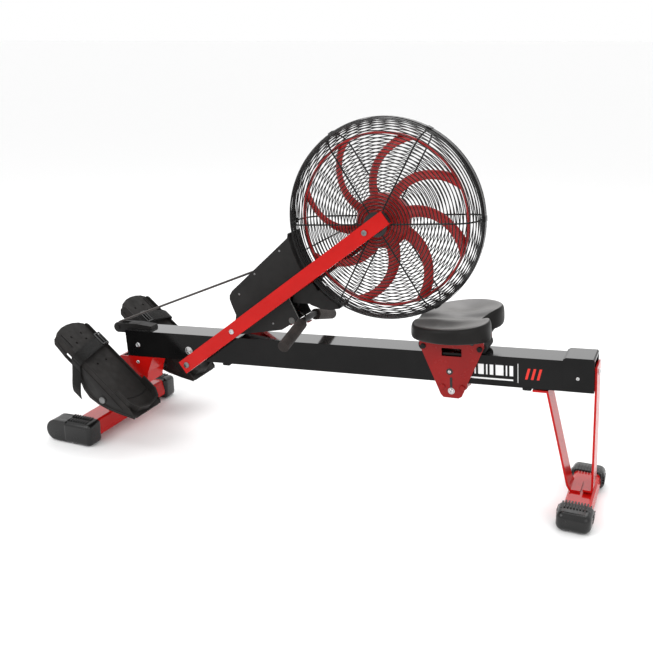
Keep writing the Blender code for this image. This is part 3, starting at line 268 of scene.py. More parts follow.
def chain_look(name):
    """Steel links, with painted shade in the gaps between them."""
    s = Shader(name, (0.16, 0.15, 0.14), 0.4, metallic=1.0)
    links = s.wave(42.0, "DIAGONAL")
    # The dark bands are painted shade where the gaps between the links are.
    s.tint(links, (0.01, 0.009, 0.008), (0.13, 0.125, 0.12), 0.3, 0.6)
    s.rough(links, 0.6, 0.3)
    s.bump(links, 0.0012)
    return s.mat


def floor_look(name):
    """Pale paper."""
    s = Shader(name, (0.97, 0.97, 0.97), 0.6)
    s.rough(s.noise(3.0, 3.0), 0.55, 0.7)
    return s.mat


# The last argument of paint, up, sets the painted reflection on the faces that look up.
RED = paint("gloss_red", (0.41, 0.0045, 0.0035), (0.50, 0.0065, 0.005), 0.16)
DEEP_RED = paint("deep_red", (0.20, 0.004, 0.004), (0.28, 0.007, 0.006), 0.22, specular=0.22)
BLACK = paint("gloss_black", (0.0035, 0.0035, 0.0036), (0.0070, 0.0068, 0.0068), 0.10, specular=0.14, up=1.0)
WIRE = paint("wire_black", (0.003, 0.003, 0.003), (0.007, 0.007, 0.007), 0.25, 0.00003, 0.25, 0.3)
CHARCOAL = plastic("charcoal_plastic", (0.0075, 0.0072, 0.0070), (0.0130, 0.0125, 0.0120), 0.42, 0.60,
                   700.0, 0.00008)
PLASTIC = plastic("black_plastic", (0.0055, 0.0050, 0.0048), (0.0110, 0.0100, 0.0095), 0.36, 0.54)
GLOSSY = plastic("glossy_plastic", (0.0045, 0.0045, 0.0045), (0.0085, 0.0085, 0.0085), 0.18, 0.30,
                 500.0, 0.00002, 0.4)
TREAD = plastic("tread_plastic", (0.0070, 0.0062, 0.0056), (0.0150, 0.0132, 0.0122), 0.55, 0.75,
                420.0, 0.00018)
RUBBER = plastic("wheel_rubber", (0.006, 0.006, 0.006), (0.012, 0.012, 0.012), 0.65, 0.85, 500.0, 0.00010)
GREY = plastic("grey_plastic", (0.09, 0.09, 0.085), (0.14, 0.14, 0.135), 0.40, 0.55)
STEEL = steel("bright_steel", 0.62, 0.18, 0.34)
DARK_STEEL = steel("dark_steel", 0.22, 0.28, 0.44)
WEBBING = webbing("strap_webbing")
CORD = braided("braided_cord")
FOAM = foam("grip_foam")
SADDLE = saddle_skin("saddle_skin")
FAN = fan_paint("fan_dark_red")
CHAIN = chain_look("chain_links_gap_shade")
WHITE_PRINT = paint("white_print", (0.74, 0.74, 0.74), (0.84, 0.84, 0.84), 0.30, 0.00002)
RED_PRINT = paint("red_print", (0.58, 0.030, 0.020), (0.70, 0.040, 0.030), 0.30, 0.00002)


# ---------------------------------------------------------------- mesh helpers

def piece(name, bm, mat, body, replaces=(), angle=35.0, levels=0, frame_matrix=None):
    """A finished piece: smooth shaded, with its material, riding on a CAD body."""
    if frame_matrix is not None:
        bm.transform(frame_matrix)
    bmesh.ops.recalc_face_normals(bm, faces=bm.faces)
    mesh = bpy.data.meshes.new(name)
    bm.to_mesh(mesh)
    bm.free()
    mesh.shade_smooth()
    if angle:
        mesh.set_sharp_from_angle(angle=radians(angle))
    mesh.materials.append(mat)
    obj = bpy.data.objects.new(name, mesh)
    bpy.context.scene.collection.objects.link(obj)
    if levels:
        sub = obj.modifiers.new("subdivision", "SUBSURF")
        sub.levels = levels
        sub.render_levels = levels
    if body:
        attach(obj, body)
    if replaces:
        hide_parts(*replaces)
    return obj


def merge(target, source):
    """Adds one bmesh to another."""
    mesh = bpy.data.meshes.new("merge")
    source.to_mesh(mesh)
    source.free()
    target.from_mesh(mesh)
    bpy.data.meshes.remove(mesh)


def lathe(profile, steps=48, loop=False, centre=(0.0, 0.0, 0.0)):
    """Spins (radius, y) points about an axis along Y through centre."""
    bm = bmesh.new()
    cx, cy, cz = centre
    rings = []
    for radius, y in profile:
        count = 1 if radius < 1e-6 else steps
        rings.append([bm.verts.new((cx + radius * cos(2 * pi * i / steps), cy + y,
                                    cz + radius * sin(2 * pi * i / steps))) for i in range(count)])
    pairs = list(zip(rings, rings[1:]))
    if loop:
        pairs.append((rings[-1], rings[0]))
    for a, b in pairs:
        for i in range(steps):
            j = (i + 1) % steps
            quad = [a[i % len(a)], a[j % len(a)], b[j % len(b)], b[i % len(b)]]
            corners = list(dict.fromkeys(quad))
            if len(corners) > 2:
                bm.faces.new(corners)
    return bm


def tube(points, radius, sides=8, closed=False):
    """A round tube along points, with radius a number or one per point."""
    bm = bmesh.new()
    count = len(points)
    path = [Vector(p) for p in points]
    normal = None
    rows = []
    for i, p in enumerate(path):
        ahead = path[(i + 1) % count] if closed or i + 1 < count else p
        behind = path[i - 1] if closed or i > 0 else p
        run = (ahead - behind).normalized()
        if normal is None:
            normal = run.orthogonal().normalized()
        normal = (normal - run * normal.dot(run)).normalized()
        across = run.cross(normal)
        r = radius[i] if isinstance(radius, (list, tuple)) else radius
        row = []
        for k in range(sides):
            a = 2 * pi * k / sides
            row.append(bm.verts.new(p + normal * r * cos(a) + across * r * sin(a)))
        rows.append(row)
    pairs = list(zip(rows, rows[1:]))
    if closed:
        pairs.append((rows[-1], rows[0]))
    for a, b in pairs:
        for k in range(sides):
            n = (k + 1) % sides
            bm.faces.new((a[k], a[n], b[n], b[k]))
    if not closed:
        bm.faces.new(list(reversed(rows[0])))
        bm.faces.new(rows[-1])
    return bm


def slab(lo, hi, bevel=0.0, segments=2):
    """A box between two corners, with rounded edges."""
    bm = bmesh.new()
    size = Vector(hi) - Vector(lo)
    middle = (Vector(hi) + Vector(lo)) / 2
    bmesh.ops.create_cube(bm, size=1.0, matrix=Matrix.Translation(middle) @ Matrix.Diagonal((*size, 1.0)))
    if bevel:
        bmesh.ops.bevel(bm, geom=bm.edges[:], offset=bevel, segments=segments, affect="EDGES", profile=0.5)
    return bm


def prism(outline, y0, y1, bevel=0.0, segments=3):
    """An outline of (x, z) points between y0 and y1, with rounded rims."""
    bm = bmesh.new()
    face = bm.faces.new([bm.verts.new((x, y0, z)) for x, z in outline])
    grown = bmesh.ops.extrude_face_region(bm, geom=[face])
    bmesh.ops.translate(bm, verts=[g for g in grown["geom"] if isinstance(g, bmesh.types.BMVert)],
                        vec=(0.0, y1 - y0, 0.0))
    if bevel:
        rims = [e for e in bm.edges if abs(e.verts[0].co.y - e.verts[1].co.y) < 1e-6]
        bmesh.ops.bevel(bm, geom=rims, offset=bevel, segments=segments, affect="EDGES", profile=0.5,
                        clamp_overlap=True)
    return bm


def arc(cx, cz, radius, start, end, count):
    """Points (x, z) along an arc, with both its ends."""
    angles = [start + (end - start) * i / count for i in range(count + 1)]
    return [(cx + radius * cos(a), cz + radius * sin(a)) for a in angles]


def between(before, a, b, after, t):
    """The value at t from a to b on a curve through four values (Catmull-Rom)."""
    return 0.5 * (2 * a + (b - before) * t + (2 * before - 5 * a + 4 * b - after) * t * t
                  + (3 * a - before - 3 * b + after) * t ** 3)


def smooth_route(knots, spacing):
    """Points about that far apart on a smooth curve through the knots."""
    knots = [Vector(k) for k in knots]
    points = []
    last = len(knots) - 1
    for i in range(last):
        p0, p1, p2, p3 = knots[max(0, i - 1)], knots[i], knots[i + 1], knots[min(last, i + 2)]
        steps = max(1, round((p2 - p1).length / spacing))
        for k in range(steps):
            points.append(between(p0, p1, p2, p3, k / steps))
    points.append(knots[-1])
    return points


def bolt_head(radius, depth, x, y, z, side, washer=0.0):
    """A button head with a hex socket, standing out from y on that side, over a washer."""
    base = 0.0
    profile = []
    if washer:
        profile += [(0, 0), (washer, 0), (washer, 0.0012), (radius, 0.0014)]
        base = 0.0014
    else:
        profile += [(0, 0), (radius, 0)]
    for k in range(1, 5):
        a = k * pi / 9
        profile.append((radius * cos(a) ** 0.7, base + depth * sin(a) / sin(4 * pi / 9)))
    profile += [(radius * 0.42, base + depth), (radius * 0.40, base + depth * 0.25), (0, base + depth * 0.2)]
    return lathe([(r, side * h) for r, h in profile], 20, centre=(x, y, z))


# ---------------------------------------------------------------- fan cage and fan wheel

CAGE_FLAT = 0.235
CAGE_HALF = 0.080
CAGE_EDGE_HALF = 0.076
CAGE_RIM_HALF = 0.004
CAGE_RINGS = 32
CAGE_SPOKES = 6
HUB_PLATE = 0.034
WIRE_RADIUS = 0.00155
SPOKE_RADIUS = 0.0024


def cage_profile(radius):
    """Half the guard's depth at a radius: nearly flat in the middle, round at the rim."""
    if radius <= CAGE_FLAT:
        return CAGE_HALF + (CAGE_EDGE_HALF - CAGE_HALF) * radius / CAGE_FLAT
    f = min(1.0, (radius - CAGE_FLAT) / (CAGE_RADIUS - CAGE_FLAT))
    return CAGE_RIM_HALF + (CAGE_EDGE_HALF - CAGE_RIM_HALF) * (1.0 - f * f) ** 0.5


def cage_stations(count):
    """(radius, y) evenly spaced along the guard's section, from the hub plate to the rim."""
    radii = [HUB_PLATE + (CAGE_RADIUS - HUB_PLATE) * (1 - (1 - i / 600) ** 2) for i in range(601)]
    fine = [(r, cage_profile(r)) for r in radii]
    lengths = [0.0]
    for a, b in zip(fine, fine[1:]):
        lengths.append(lengths[-1] + ((a[0] - b[0]) ** 2 + (a[1] - b[1]) ** 2) ** 0.5)
    found = []
    k = 0
    for i in range(count):
        want = lengths[-1] * i / (count - 1)
        while k < len(lengths) - 1 and lengths[k] < want:
            k += 1
        found.append(fine[k])
    return found


def cage_wires(side):
    """The rings of one half of the guard, and the spokes that they are welded to."""
    bm = bmesh.new()
    corners = [2 * pi * k / 6 for k in range(6)]
    for r, y in cage_stations(CAGE_RINGS):
        r = min(r, CAGE_RADIUS - 0.0020)
        section = [(r + WIRE_RADIUS * cos(a), side * y + WIRE_RADIUS * sin(a)) for a in corners]
        merge(bm, lathe(section, 96, loop=True, centre=HUB))
    inner = [(min(r, CAGE_RADIUS - 0.004) - 0.0022, side * (y - 0.0022)) for r, y in cage_stations(26)]
    for i in range(CAGE_SPOKES):
        angle = CAGE_TURN + 2 * pi * i / CAGE_SPOKES
        path = [HUB + Vector((r * cos(angle), y, r * sin(angle))) for r, y in inner]
        merge(bm, tube(path, SPOKE_RADIUS, 8))
    return bm


def make_cage():
    """Both halves of the guard, their hub plates, and the band and clips that join them."""
    for word, side in (("near", -1), ("far", 1)):
        piece("guard_wires_" + word, cage_wires(side), WIRE, "fan_frame", ["cage_" + word], angle=60)
        plate = [(AXLE_BORE, 0.0765), (0.030, 0.0765), (0.0345, 0.0780), (0.0355, 0.0795), (0.0345, 0.0812),
                 (0.029, 0.0820), (0.020, 0.0815), (0.016, 0.0815), (0.014, 0.0832), (AXLE_BORE, 0.0832)]
        bm = lathe([(r, side * y) for r, y in plate], 48, loop=True, centre=HUB)
        for i in range(4):
            a = pi / 4 + pi * i / 2
            x, z = HUB.x + 0.0235 * cos(a), HUB.z + 0.0235 * sin(a)
            merge(bm, bolt_head(0.0032, 0.0018, x, side * 0.0816, z, side))
        piece("guard_hub_" + word, bm, GLOSSY, "fan_frame")
    band = [(CAGE_RADIUS + 0.0003, -0.0085), (CAGE_RADIUS + 0.0012, -0.0092), (CAGE_RADIUS + 0.0018, -0.0080),
            (CAGE_RADIUS + 0.0018, 0.0080), (CAGE_RADIUS + 0.0012, 0.0092), (CAGE_RADIUS + 0.0003, 0.0085)]
    bm = lathe(band, 128, loop=True, centre=HUB)
    for i in range(CAGE_SPOKES):
        angle = CAGE_TURN + 2 * pi * i / CAGE_SPOKES
        turn = Matrix.Translation(HUB) @ Matrix.Rotation(-angle, 4, "Y")
        clip = slab((CAGE_RADIUS + 0.0014, -0.0115, -0.0080), (CAGE_RADIUS + 0.0042, 0.0115, 0.0080), 0.0010)
        for y in (-0.0102, 0.0102):
            merge(clip, slab((CAGE_RADIUS - 0.0080, y - 0.0010, -0.0075),
                             (CAGE_RADIUS + 0.0036, y + 0.0010, 0.0075), 0.0006))
        clip.transform(turn)
        merge(bm, clip)
        screw = bolt_head(0.0030, 0.0020, CAGE_RADIUS - 0.0020, -0.0112, 0.0, -1)
        screw.transform(turn)
        merge(bm, screw)
    piece("guard_rim", bm, WIRE, "fan_frame", ["cage_rim"])


FAN_Y = -0.012
FAN_RING = 0.246
FAN_HUB = 0.078
FAN_BLADES = 8
FAN_TURN = radians(23)
BLADE_SWEEP = radians(38)
BLADE_TWIST = radians(30)


def blade(angle):
    """One swept blade with a cupped section, thick at the root and thin at the ring."""
    bm = bmesh.new()
    along, across = 26, 6
    rows = []
    for k in range(along + 1):
        f = k / along
        radius = FAN_HUB - 0.010 + (FAN_RING - FAN_HUB + 0.010) * f
        sweep = angle - BLADE_SWEEP * f ** 1.5
        chord = 0.0200 - 0.0030 * sin(pi * f) + 0.0060 * max(0.0, (f - 0.72) / 0.28) ** 2
        twist = BLADE_TWIST * (1 - 0.35 * f)
        ring = []
        for layer in (-1, 1):
            steps = range(across + 1) if layer < 0 else range(across, -1, -1)
            for j in steps:
                v = -1 + 2 * j / across
                thick = 0.0012 * (1 - 0.75 * v * v) + 0.0003
                cup = 0.0035 * (1 - v * v)
                side = v * chord * cos(twist)
                y = FAN_Y + max(-0.020, min(0.018, v * chord * sin(twist) - cup + layer * thick))
                a = sweep + side / radius
                ring.append(bm.verts.new((HUB.x + radius * cos(a), y, HUB.z + radius * sin(a))))
        rows.append(ring)
    n = len(rows[0])
    for a, b in zip(rows, rows[1:]):
        for i in range(n):
            j = (i + 1) % n
            bm.faces.new((a[i], a[j], b[j], b[i]))
    bm.faces.new(list(reversed(rows[0])))
    bm.faces.new(rows[-1])
    return bm


def make_fan():
    """A ribbed hub, the blades and the ring round their tips."""
    y = FAN_Y
    hub = [(AXLE_BORE, y - 0.026), (0.018, y - 0.026), (0.021, y - 0.023), (0.023, y - 0.018)]
    for i in range(5):
        r = 0.028 + 0.010 * i
        hub += [(r, y - 0.0185 + 0.0012 * i), (r + 0.0015, y - 0.0200 + 0.0012 * i),
                (r + 0.0045, y - 0.0200 + 0.0012 * i), (r + 0.0060, y - 0.0180 + 0.0012 * i)]
    hub += [(FAN_HUB, y - 0.010), (FAN_HUB + 0.001, y - 0.006), (FAN_HUB, y + 0.016),
            (FAN_HUB - 0.003, y + 0.019), (AXLE_BORE, y + 0.019)]
    bm = lathe(hub, 64, loop=True, centre=HUB)
    for i in range(FAN_BLADES):
        merge(bm, blade(FAN_TURN + 2 * pi * i / FAN_BLADES))
    corners = [2 * pi * i / 10 for i in range(10)]
    section = [(FAN_RING + 0.0040 * cos(a), y + 0.0085 * sin(a)) for a in corners]
    merge(bm, lathe(section, 120, loop=True, centre=HUB))
    piece("fan_blades", bm, FAN, "fan", ["fan_wheel"], angle=50)


# ---------------------------------------------------------------- saddle

SADDLE_LENGTH = 0.225
SADDLE_BASE = 0.0963
SADDLE_STEPS = 96
RIM_START = 0.92
RIM_LIFT = 0.0022
# Degrees from the rear, and the plan radius there.
SADDLE_PLAN = ((0, 0.080), (12, 0.094), (24, 0.127), (38, 0.153), (54, 0.170), (72, 0.176), (90, 0.171),
               (110, 0.160), (128, 0.146), (146, 0.130), (163, 0.117), (180, 0.113))
# Shares of the plan radius for the rings of the upper surface.
TOP_RINGS = (0.06, 0.14, 0.22, 0.30, 0.38, 0.46, 0.54, 0.62, 0.70, 0.78, 0.86, RIM_START)
# For the rings round the rim: share of the plan radius, drop below the top, or share of the way up.
RIM_RINGS = ((0.955, 0.0010, 0.0), (0.980, 0.0045, 0.0), (0.995, 0.0105, 0.0), (1.002, 0.0190, 0.0),
             (1.004, 0.0, 0.30), (1.000, 0.0, 0.16), (0.990, 0.0, 0.07), (0.975, 0.0, 0.02),
             (0.930, 0.0, 0.0))


def boundary(theta):
    """Plan radius of the saddle: a notch at the rear, two round lobes and a blunt nose."""
    angle = abs((theta + pi) % (2 * pi) - pi) * 180 / pi
    radii = [radius for _, radius in SADDLE_PLAN]
    radii = [radii[1]] + radii + [radii[-2]]
    for i, ((a, _), (b, _)) in enumerate(zip(SADDLE_PLAN, SADDLE_PLAN[1:])):
        if a <= angle <= b:
            return between(*radii[i:i + 4], (angle - a) / (b - a))
    return SADDLE_PLAN[-1][1]


def saddle_top(x, y):
    """Height of the saddle's upper surface over its underside."""
    rear = (x + SADDLE_LENGTH / 2) / SADDLE_LENGTH
    height = 0.046 + 0.013 * rear
    channel = exp(-(y / 0.030) ** 2) * (0.007 + 0.012 * min(1.0, max(0.0, rear + 0.1)))
    dish = 0.015 * exp(-((abs(y) - 0.086) / 0.050) ** 2 - ((x - 0.004) / 0.066) ** 2)
    fall = 0.007 * max(0.0, -(x + 0.055) / 0.06) ** 1.5
    return height - channel - dish - fall


def make_saddle():
    """A moulded pad: rings from the middle of the top, over the rim and in under it."""
    bm = bmesh.new()
    turn = [2 * pi * i / SADDLE_STEPS for i in range(SADDLE_STEPS)]
    base = SADDLE_BASE
    rings = []
    for rho in TOP_RINGS:
        ring = []
        for theta in turn:
            r = boundary(theta) * rho
            x, y = r * cos(theta), r * sin(theta)
            lift = RIM_LIFT * max(0.0, (rho - 0.70) / 0.22) ** 2
            ring.append(bm.verts.new((x, y, base + saddle_top(x, y) + lift)))
        rings.append(ring)
    for rho, drop, share in RIM_RINGS:
        ring = []
        for theta in turn:
            r = boundary(theta) * rho
            edge = boundary(theta) * RIM_START
            top = saddle_top(edge * cos(theta), edge * sin(theta)) + RIM_LIFT
            under = 0.011 * min(1.0, abs(r * sin(theta)) / 0.160) ** 2
            z = base + (top - drop if drop else under + (top - under) * share)
            ring.append(bm.verts.new((r * cos(theta), r * sin(theta), z)))
        rings.append(ring)
    for rho in (0.80, 0.5):
        ring = []
        for theta in turn:
            r = boundary(theta) * rho
            ring.append(bm.verts.new((r * cos(theta), r * sin(theta), base + 0.003)))
        rings.append(ring)
    for a, b in zip(rings, rings[1:]):
        for i in range(SADDLE_STEPS):
            j = (i + 1) % SADDLE_STEPS
            bm.faces.new((a[i], a[j], b[j], b[i]))
    centre = bm.verts.new((0, 0, base + saddle_top(0, 0)))
    under = bm.verts.new((0, 0, base + 0.003))
    for i in range(SADDLE_STEPS):
        j = (i + 1) % SADDLE_STEPS
        bm.faces.new((centre, rings[0][j], rings[0][i]))
        bm.faces.new((under, rings[-1][i], rings[-1][j]))
    saddle = piece("saddle", bm, SADDLE, "seat", ["seat_pad"], angle=0, levels=1, frame_matrix=SEAT)


def make_carriage_details():
    """Bolts, a slot and a washer on each side plate of the seat carriage."""
    bm = bmesh.new()
    for side in (-1, 1):
        face = side * 0.0507
        merge(bm, bolt_head(0.0080, 0.0042, -0.002, face, -0.068, side, washer=0.0098))
        merge(bm, bolt_head(0.0056, 0.0034, -0.006, face + side * 0.0006, -0.010, side))
    piece("carriage_bolts", bm, STEEL, "seat", frame_matrix=SEAT)
    bm = bmesh.new()
    slot = (arc(-0.002, -0.030, 0.0034, 0, pi, 8) + arc(-0.002, -0.064, 0.0034, pi, 2 * pi, 8))
    for side in (-1, 1):
        face = side * 0.0506
        for s in (-0.060, 0.060):
            merge(bm, bolt_head(0.0072, 0.0040, s, face, 0.0785, side))
        near_edge, far_edge = sorted((face, face + side * 0.0005))
        merge(bm, prism(slot, near_edge, far_edge))
        washer = [(0, 0.0505), (0.0095, 0.0505), (0.0095, 0.0512), (0, 0.0512)]
        merge(bm, lathe([(r, side * y) for r, y in washer], 24, centre=(-0.006, 0.0, -0.010)))
    piece("carriage_dark_parts", bm, GLOSSY, "seat", frame_matrix=SEAT)


# ---------------------------------------------------------------- footplates

def pedal_matrix(side):
    """The frame of a footplate, from its axle: u runs down its slope towards the heel."""
    x, y, z = PEDAL_PIVOT
    return Matrix.Translation((x, side * y, z)) @ Matrix.Rotation(PEDAL_SLOPE, 4, "Y")


def strap_band(side, knots, low_u, high_u, thick, skew=0.0):
    """A flat band of webbing over the plate: knots are (y, height) with y towards the outside.

    Beyond the outer edge it hangs straight down, which drifts it towards the heel of the tilted plate.
    """
    flat = smooth_route([(0.0, y, z) for y, z in knots], 0.004)
    bm = bmesh.new()
    rows = []
    count = len(flat)
    for i, p in enumerate(flat):
        ahead = flat[min(i + 1, count - 1)]
        behind = flat[max(i - 1, 0)]
        run = (ahead - behind).normalized()
        normal = Vector((0.0, -run.z, run.y))
        shift = skew * min(1.0, max(0.0, (p.y + PEDAL_HALF) / (2 * PEDAL_HALF)))
        if p.y > PEDAL_HALF:
            shift += 0.82 * max(0.0, 0.034 - p.z)
        row = []
        for layer in (0, 1):
            spread = (0.0, 0.06, 0.5, 0.94, 1.0) if layer == 0 else (1.0, 0.94, 0.5, 0.06, 0.0)
            for f in spread:
                edge = 0.25 if f in (0.0, 1.0) else 0.0
                lift = thick * (layer * (1 - edge) + (1 - layer) * edge)
                q = p + normal * lift
                row.append(bm.verts.new((low_u + (high_u - low_u) * f + shift, side * q.y, q.z)))
        rows.append(row)
    n = len(rows[0])
    for a, b in zip(rows, rows[1:]):
        for i in range(n):
            j = (i + 1) % n
            bm.faces.new((a[i], a[j], b[j], b[i]))
    bm.faces.new(list(reversed(rows[0])))
    bm.faces.new(rows[-1])
    return bm


def make_strap(word, side):
    """A strap over a footplate, the doubled end on top of it, and its buckle."""
    body = "pedal_" + word
    m = pedal_matrix(side)
    h, top = PEDAL_HALF, PEDAL_TOP
    over = [(-h + 0.010, 0.0222), (-h - 0.003, 0.0222), (-h - 0.0078, 0.026), (-h - 0.0090, 0.036),
            (-h - 0.0060, top + 0.0085), (-h + 0.006, top + 0.0150), (-h + 0.030, top + 0.0180),
            (0.0, top + 0.0195), (h - 0.030, top + 0.0180), (h - 0.008, top + 0.0145),
            (h + 0.0020, top + 0.0075), (h + 0.0044, 0.034), (h + 0.0048, 0.016), (h + 0.0085, -0.010),
            (h + 0.0120, -0.030), (h + 0.0115, -0.044), (h + 0.0085, -0.052)]
    bm = strap_band(side, over, STRAP_U - 0.020, STRAP_U + 0.020, 0.0024, 0.022)
    doubled = [(-h + 0.024, top + 0.0212), (-h + 0.045, top + 0.0232), (0.0, top + 0.0240),
               (h - 0.030, top + 0.0226), (h - 0.008, top + 0.0182), (h + 0.0048, top + 0.0095),
               (h + 0.0074, 0.034)]
    merge(bm, strap_band(side, doubled, STRAP_U - 0.017, STRAP_U + 0.017, 0.0022, 0.026))
    piece("strap_" + word, bm, WEBBING, body, ["foot_strap_" + word], angle=50, frame_matrix=m)
    bm = bmesh.new()
    y0, y1 = sorted((side * (-h + 0.012), side * (-h + 0.042)))
    z0, z1 = top + 0.0230, top + 0.0272
    u0, u1 = STRAP_U - 0.024, STRAP_U + 0.024
    middle = (y0 + y1) / 2
    for lo, hi in (((u0, y0, z0), (u0 + 0.005, y1, z1)), ((u1 - 0.005, y0, z0), (u1, y1, z1)),
                   ((u0, y0, z0), (u1, y0 + 0.0045, z1)), ((u0, y1 - 0.0045, z0), (u1, y1, z1)),
                   ((u0, middle - 0.002, z0 + 0.0008), (u1, middle + 0.002, z1 + 0.0008))):
        merge(bm, slab(lo, hi, 0.0010))
    piece("buckle_" + word, bm, GLOSSY, body, ["strap_buckle_" + word], frame_matrix=m)


def make_pedal_details(word, side):
    """Side ribs and panels, rims, toe ridges and a heel line on a footplate."""
    m = pedal_matrix(side)
    half = PEDAL_HALF
    bm = bmesh.new()
    contour = [(-0.232, 0.030), (-0.185, 0.022), (-0.145, 0.020), (-0.098, -0.002), (-0.070, -0.017),
               (-0.038, -0.023), (-0.002, -0.016), (0.030, -0.004), (0.075, 0.019), (0.108, 0.038)]
    leaf = [(-0.142, 0.0310), (-0.115, 0.0190), (-0.080, 0.0000), (-0.050, -0.0110), (-0.020, -0.0120),
            (0.020, 0.0020), (0.050, 0.0160), (0.072, 0.0290), (0.040, 0.0310), (-0.040, 0.0335),
            (-0.110, 0.0340)]
    for face in (-1, 1):
        line = smooth_route([(u, face * (half + 0.0003), t) for u, t in contour], 0.006)
        merge(bm, tube(line, 0.0020, 8))
        low_y, high_y = sorted((face * half, face * (half + 0.0018)))
        merge(bm, prism(leaf, low_y, high_y, 0.0008, 2))
        rim = [(u, face * (half - 0.0016), PEDAL_TOP + 0.0072) for u in (-0.236, -0.15, -0.05, 0.05, 0.088)]
        merge(bm, tube(smooth_route(rim, 0.02), 0.0022, 8))
    for y in (0.052, 0.060):
        merge(bm, slab((-0.246, side * y - 0.0012, PEDAL_TOP - 0.001),
                       (-0.188, side * y + 0.0012, PEDAL_TOP + 0.0022), 0.0005))
    heel = [(0.030, side * 0.062, PEDAL_TOP + 0.0006), (0.048, side * 0.040, PEDAL_TOP + 0.0006),
            (0.058, side * 0.005, PEDAL_TOP + 0.0006), (0.060, -side * 0.030, PEDAL_TOP + 0.0006),
            (0.054, -side * 0.062, PEDAL_TOP + 0.0006)]
    merge(bm, tube(smooth_route(heel, 0.006), 0.0012, 6))
    piece("plate_ribs_" + word, bm, PLASTIC, "pedal_" + word, frame_matrix=m)


# ---------------------------------------------------------------- beam, caps, covers

PRINT_START = 1.168
PRINT_THICK = 0.0003
PRINT_GAP = 0.0065
PRINT_BARS = (0.010, 0.004, 0.016, 0.004, 0.010, 0.022, 0.004, 0.010)


def make_beam_print():
    """Plain white bars over a thin rule, an upright line, and three slanted red dashes."""
    y = -BEAM_HALF_W - 0.00035
    white = bmesh.new()
    s = PRINT_START
    for width in PRINT_BARS:
        merge(white, slab((s, y, -0.012), (s + width, y + PRINT_THICK, 0.018)))
        s += width + PRINT_GAP
    merge(white, slab((PRINT_START, y, -0.026), (s - PRINT_GAP, y + PRINT_THICK, -0.0215)))
    merge(white, slab((s + 0.006, y, -0.030), (s + 0.0075, y + PRINT_THICK, 0.026)))
    piece("side_print_white", white, WHITE_PRINT, "frame", frame_matrix=BEAM)
    red = bmesh.new()
    for i in range(3):
        start = s + 0.026 + 0.016 * i
        outline = [(start, -0.018), (start + 0.007, -0.018), (start + 0.015, 0.014), (start + 0.008, 0.014)]
        merge(red, prism(outline, y, y + PRINT_THICK))
    piece("side_print_red", red, RED_PRINT, "frame", frame_matrix=BEAM)


def make_beam_details():
    """Bolt heads on the beam's sides and rear end, on the front post and on the arms."""
    bm = bmesh.new()
    for side in (-1, 1):
        merge(bm, bolt_head(0.0052, 0.0026, 1.468, side * 0.0461, -0.004, side))
    for side in (-1, 1):
        merge(bm, bolt_head(0.0088, 0.0045, 0.2425, side * 0.0434, -0.0105, side, washer=0.0135))
    piece("beam_bolt_heads", bm, STEEL, "frame", frame_matrix=BEAM)
    bm = bmesh.new()
    for side in (-1, 1):
        merge(bm, bolt_head(0.0062, 0.0032, -0.636, side * 0.0468, 0.237, side))
    leg = bolt_head(0.0065, 0.0036, 0.0, 0.0, 0.0, 1, washer=0.0095)
    rear_face = Matrix.Translation((BEAM_LENGTH + 0.0075, 0.0, 0.006)) @ Matrix.Rotation(-pi / 2, 4, "Z")
    leg.transform(BEAM @ rear_face)
    merge(bm, leg)
    piece("frame_bolt_heads", bm, STEEL, "frame")
    arm = Matrix.Translation((-0.4084, 0.0, 0.2795)) @ Matrix.Rotation(-radians(38.62), 4, "Y")
    bm = bmesh.new()
    for side in (-1, 1):
        spot = arm @ Vector((0.764, side * 0.1106, 0.0))
        merge(bm, bolt_head(0.0084, 0.0026, spot.x, spot.y, spot.z, side))
    piece("arm_bolt_heads", bm, DARK_STEEL, "fan_frame")


def rounded_cap(lo, hi, radius, ends):
    """A box with broad round corners, narrower (x) and lower (z) at its outer end by the shares in ends."""
    bm = slab(lo, hi)
    bmesh.ops.bevel(bm, geom=bm.edges[:], offset=radius, segments=7, affect="EDGES", profile=0.5)
    y_in, y_out = (lo[1], hi[1]) if abs(hi[1]) > abs(lo[1]) else (hi[1], lo[1])
    mid_x, mid_z = (lo[0] + hi[0]) / 2, lo[2]
    for v in bm.verts:
        f = max(0.0, min(1.0, (v.co.y - y_in) / (y_out - y_in)))
        v.co.x = mid_x + (v.co.x - mid_x) * (1 - ends[0] * f * f)
        v.co.z = mid_z + (v.co.z - mid_z) * (1 - ends[1] * f * f)
    return bm


FRONT_SHOE_X = (-0.8050, -0.6925)
REAR_SHOE_X = (0.7702, 0.8698)
WHEEL_CENTRE = (-0.8338, 0.0385)
SHOE_FLOOR = 0.0003


def ordered(side, inner, outer):
    """The two y values at those distances on that side, the lower first."""
    return sorted((side * inner, side * outer))


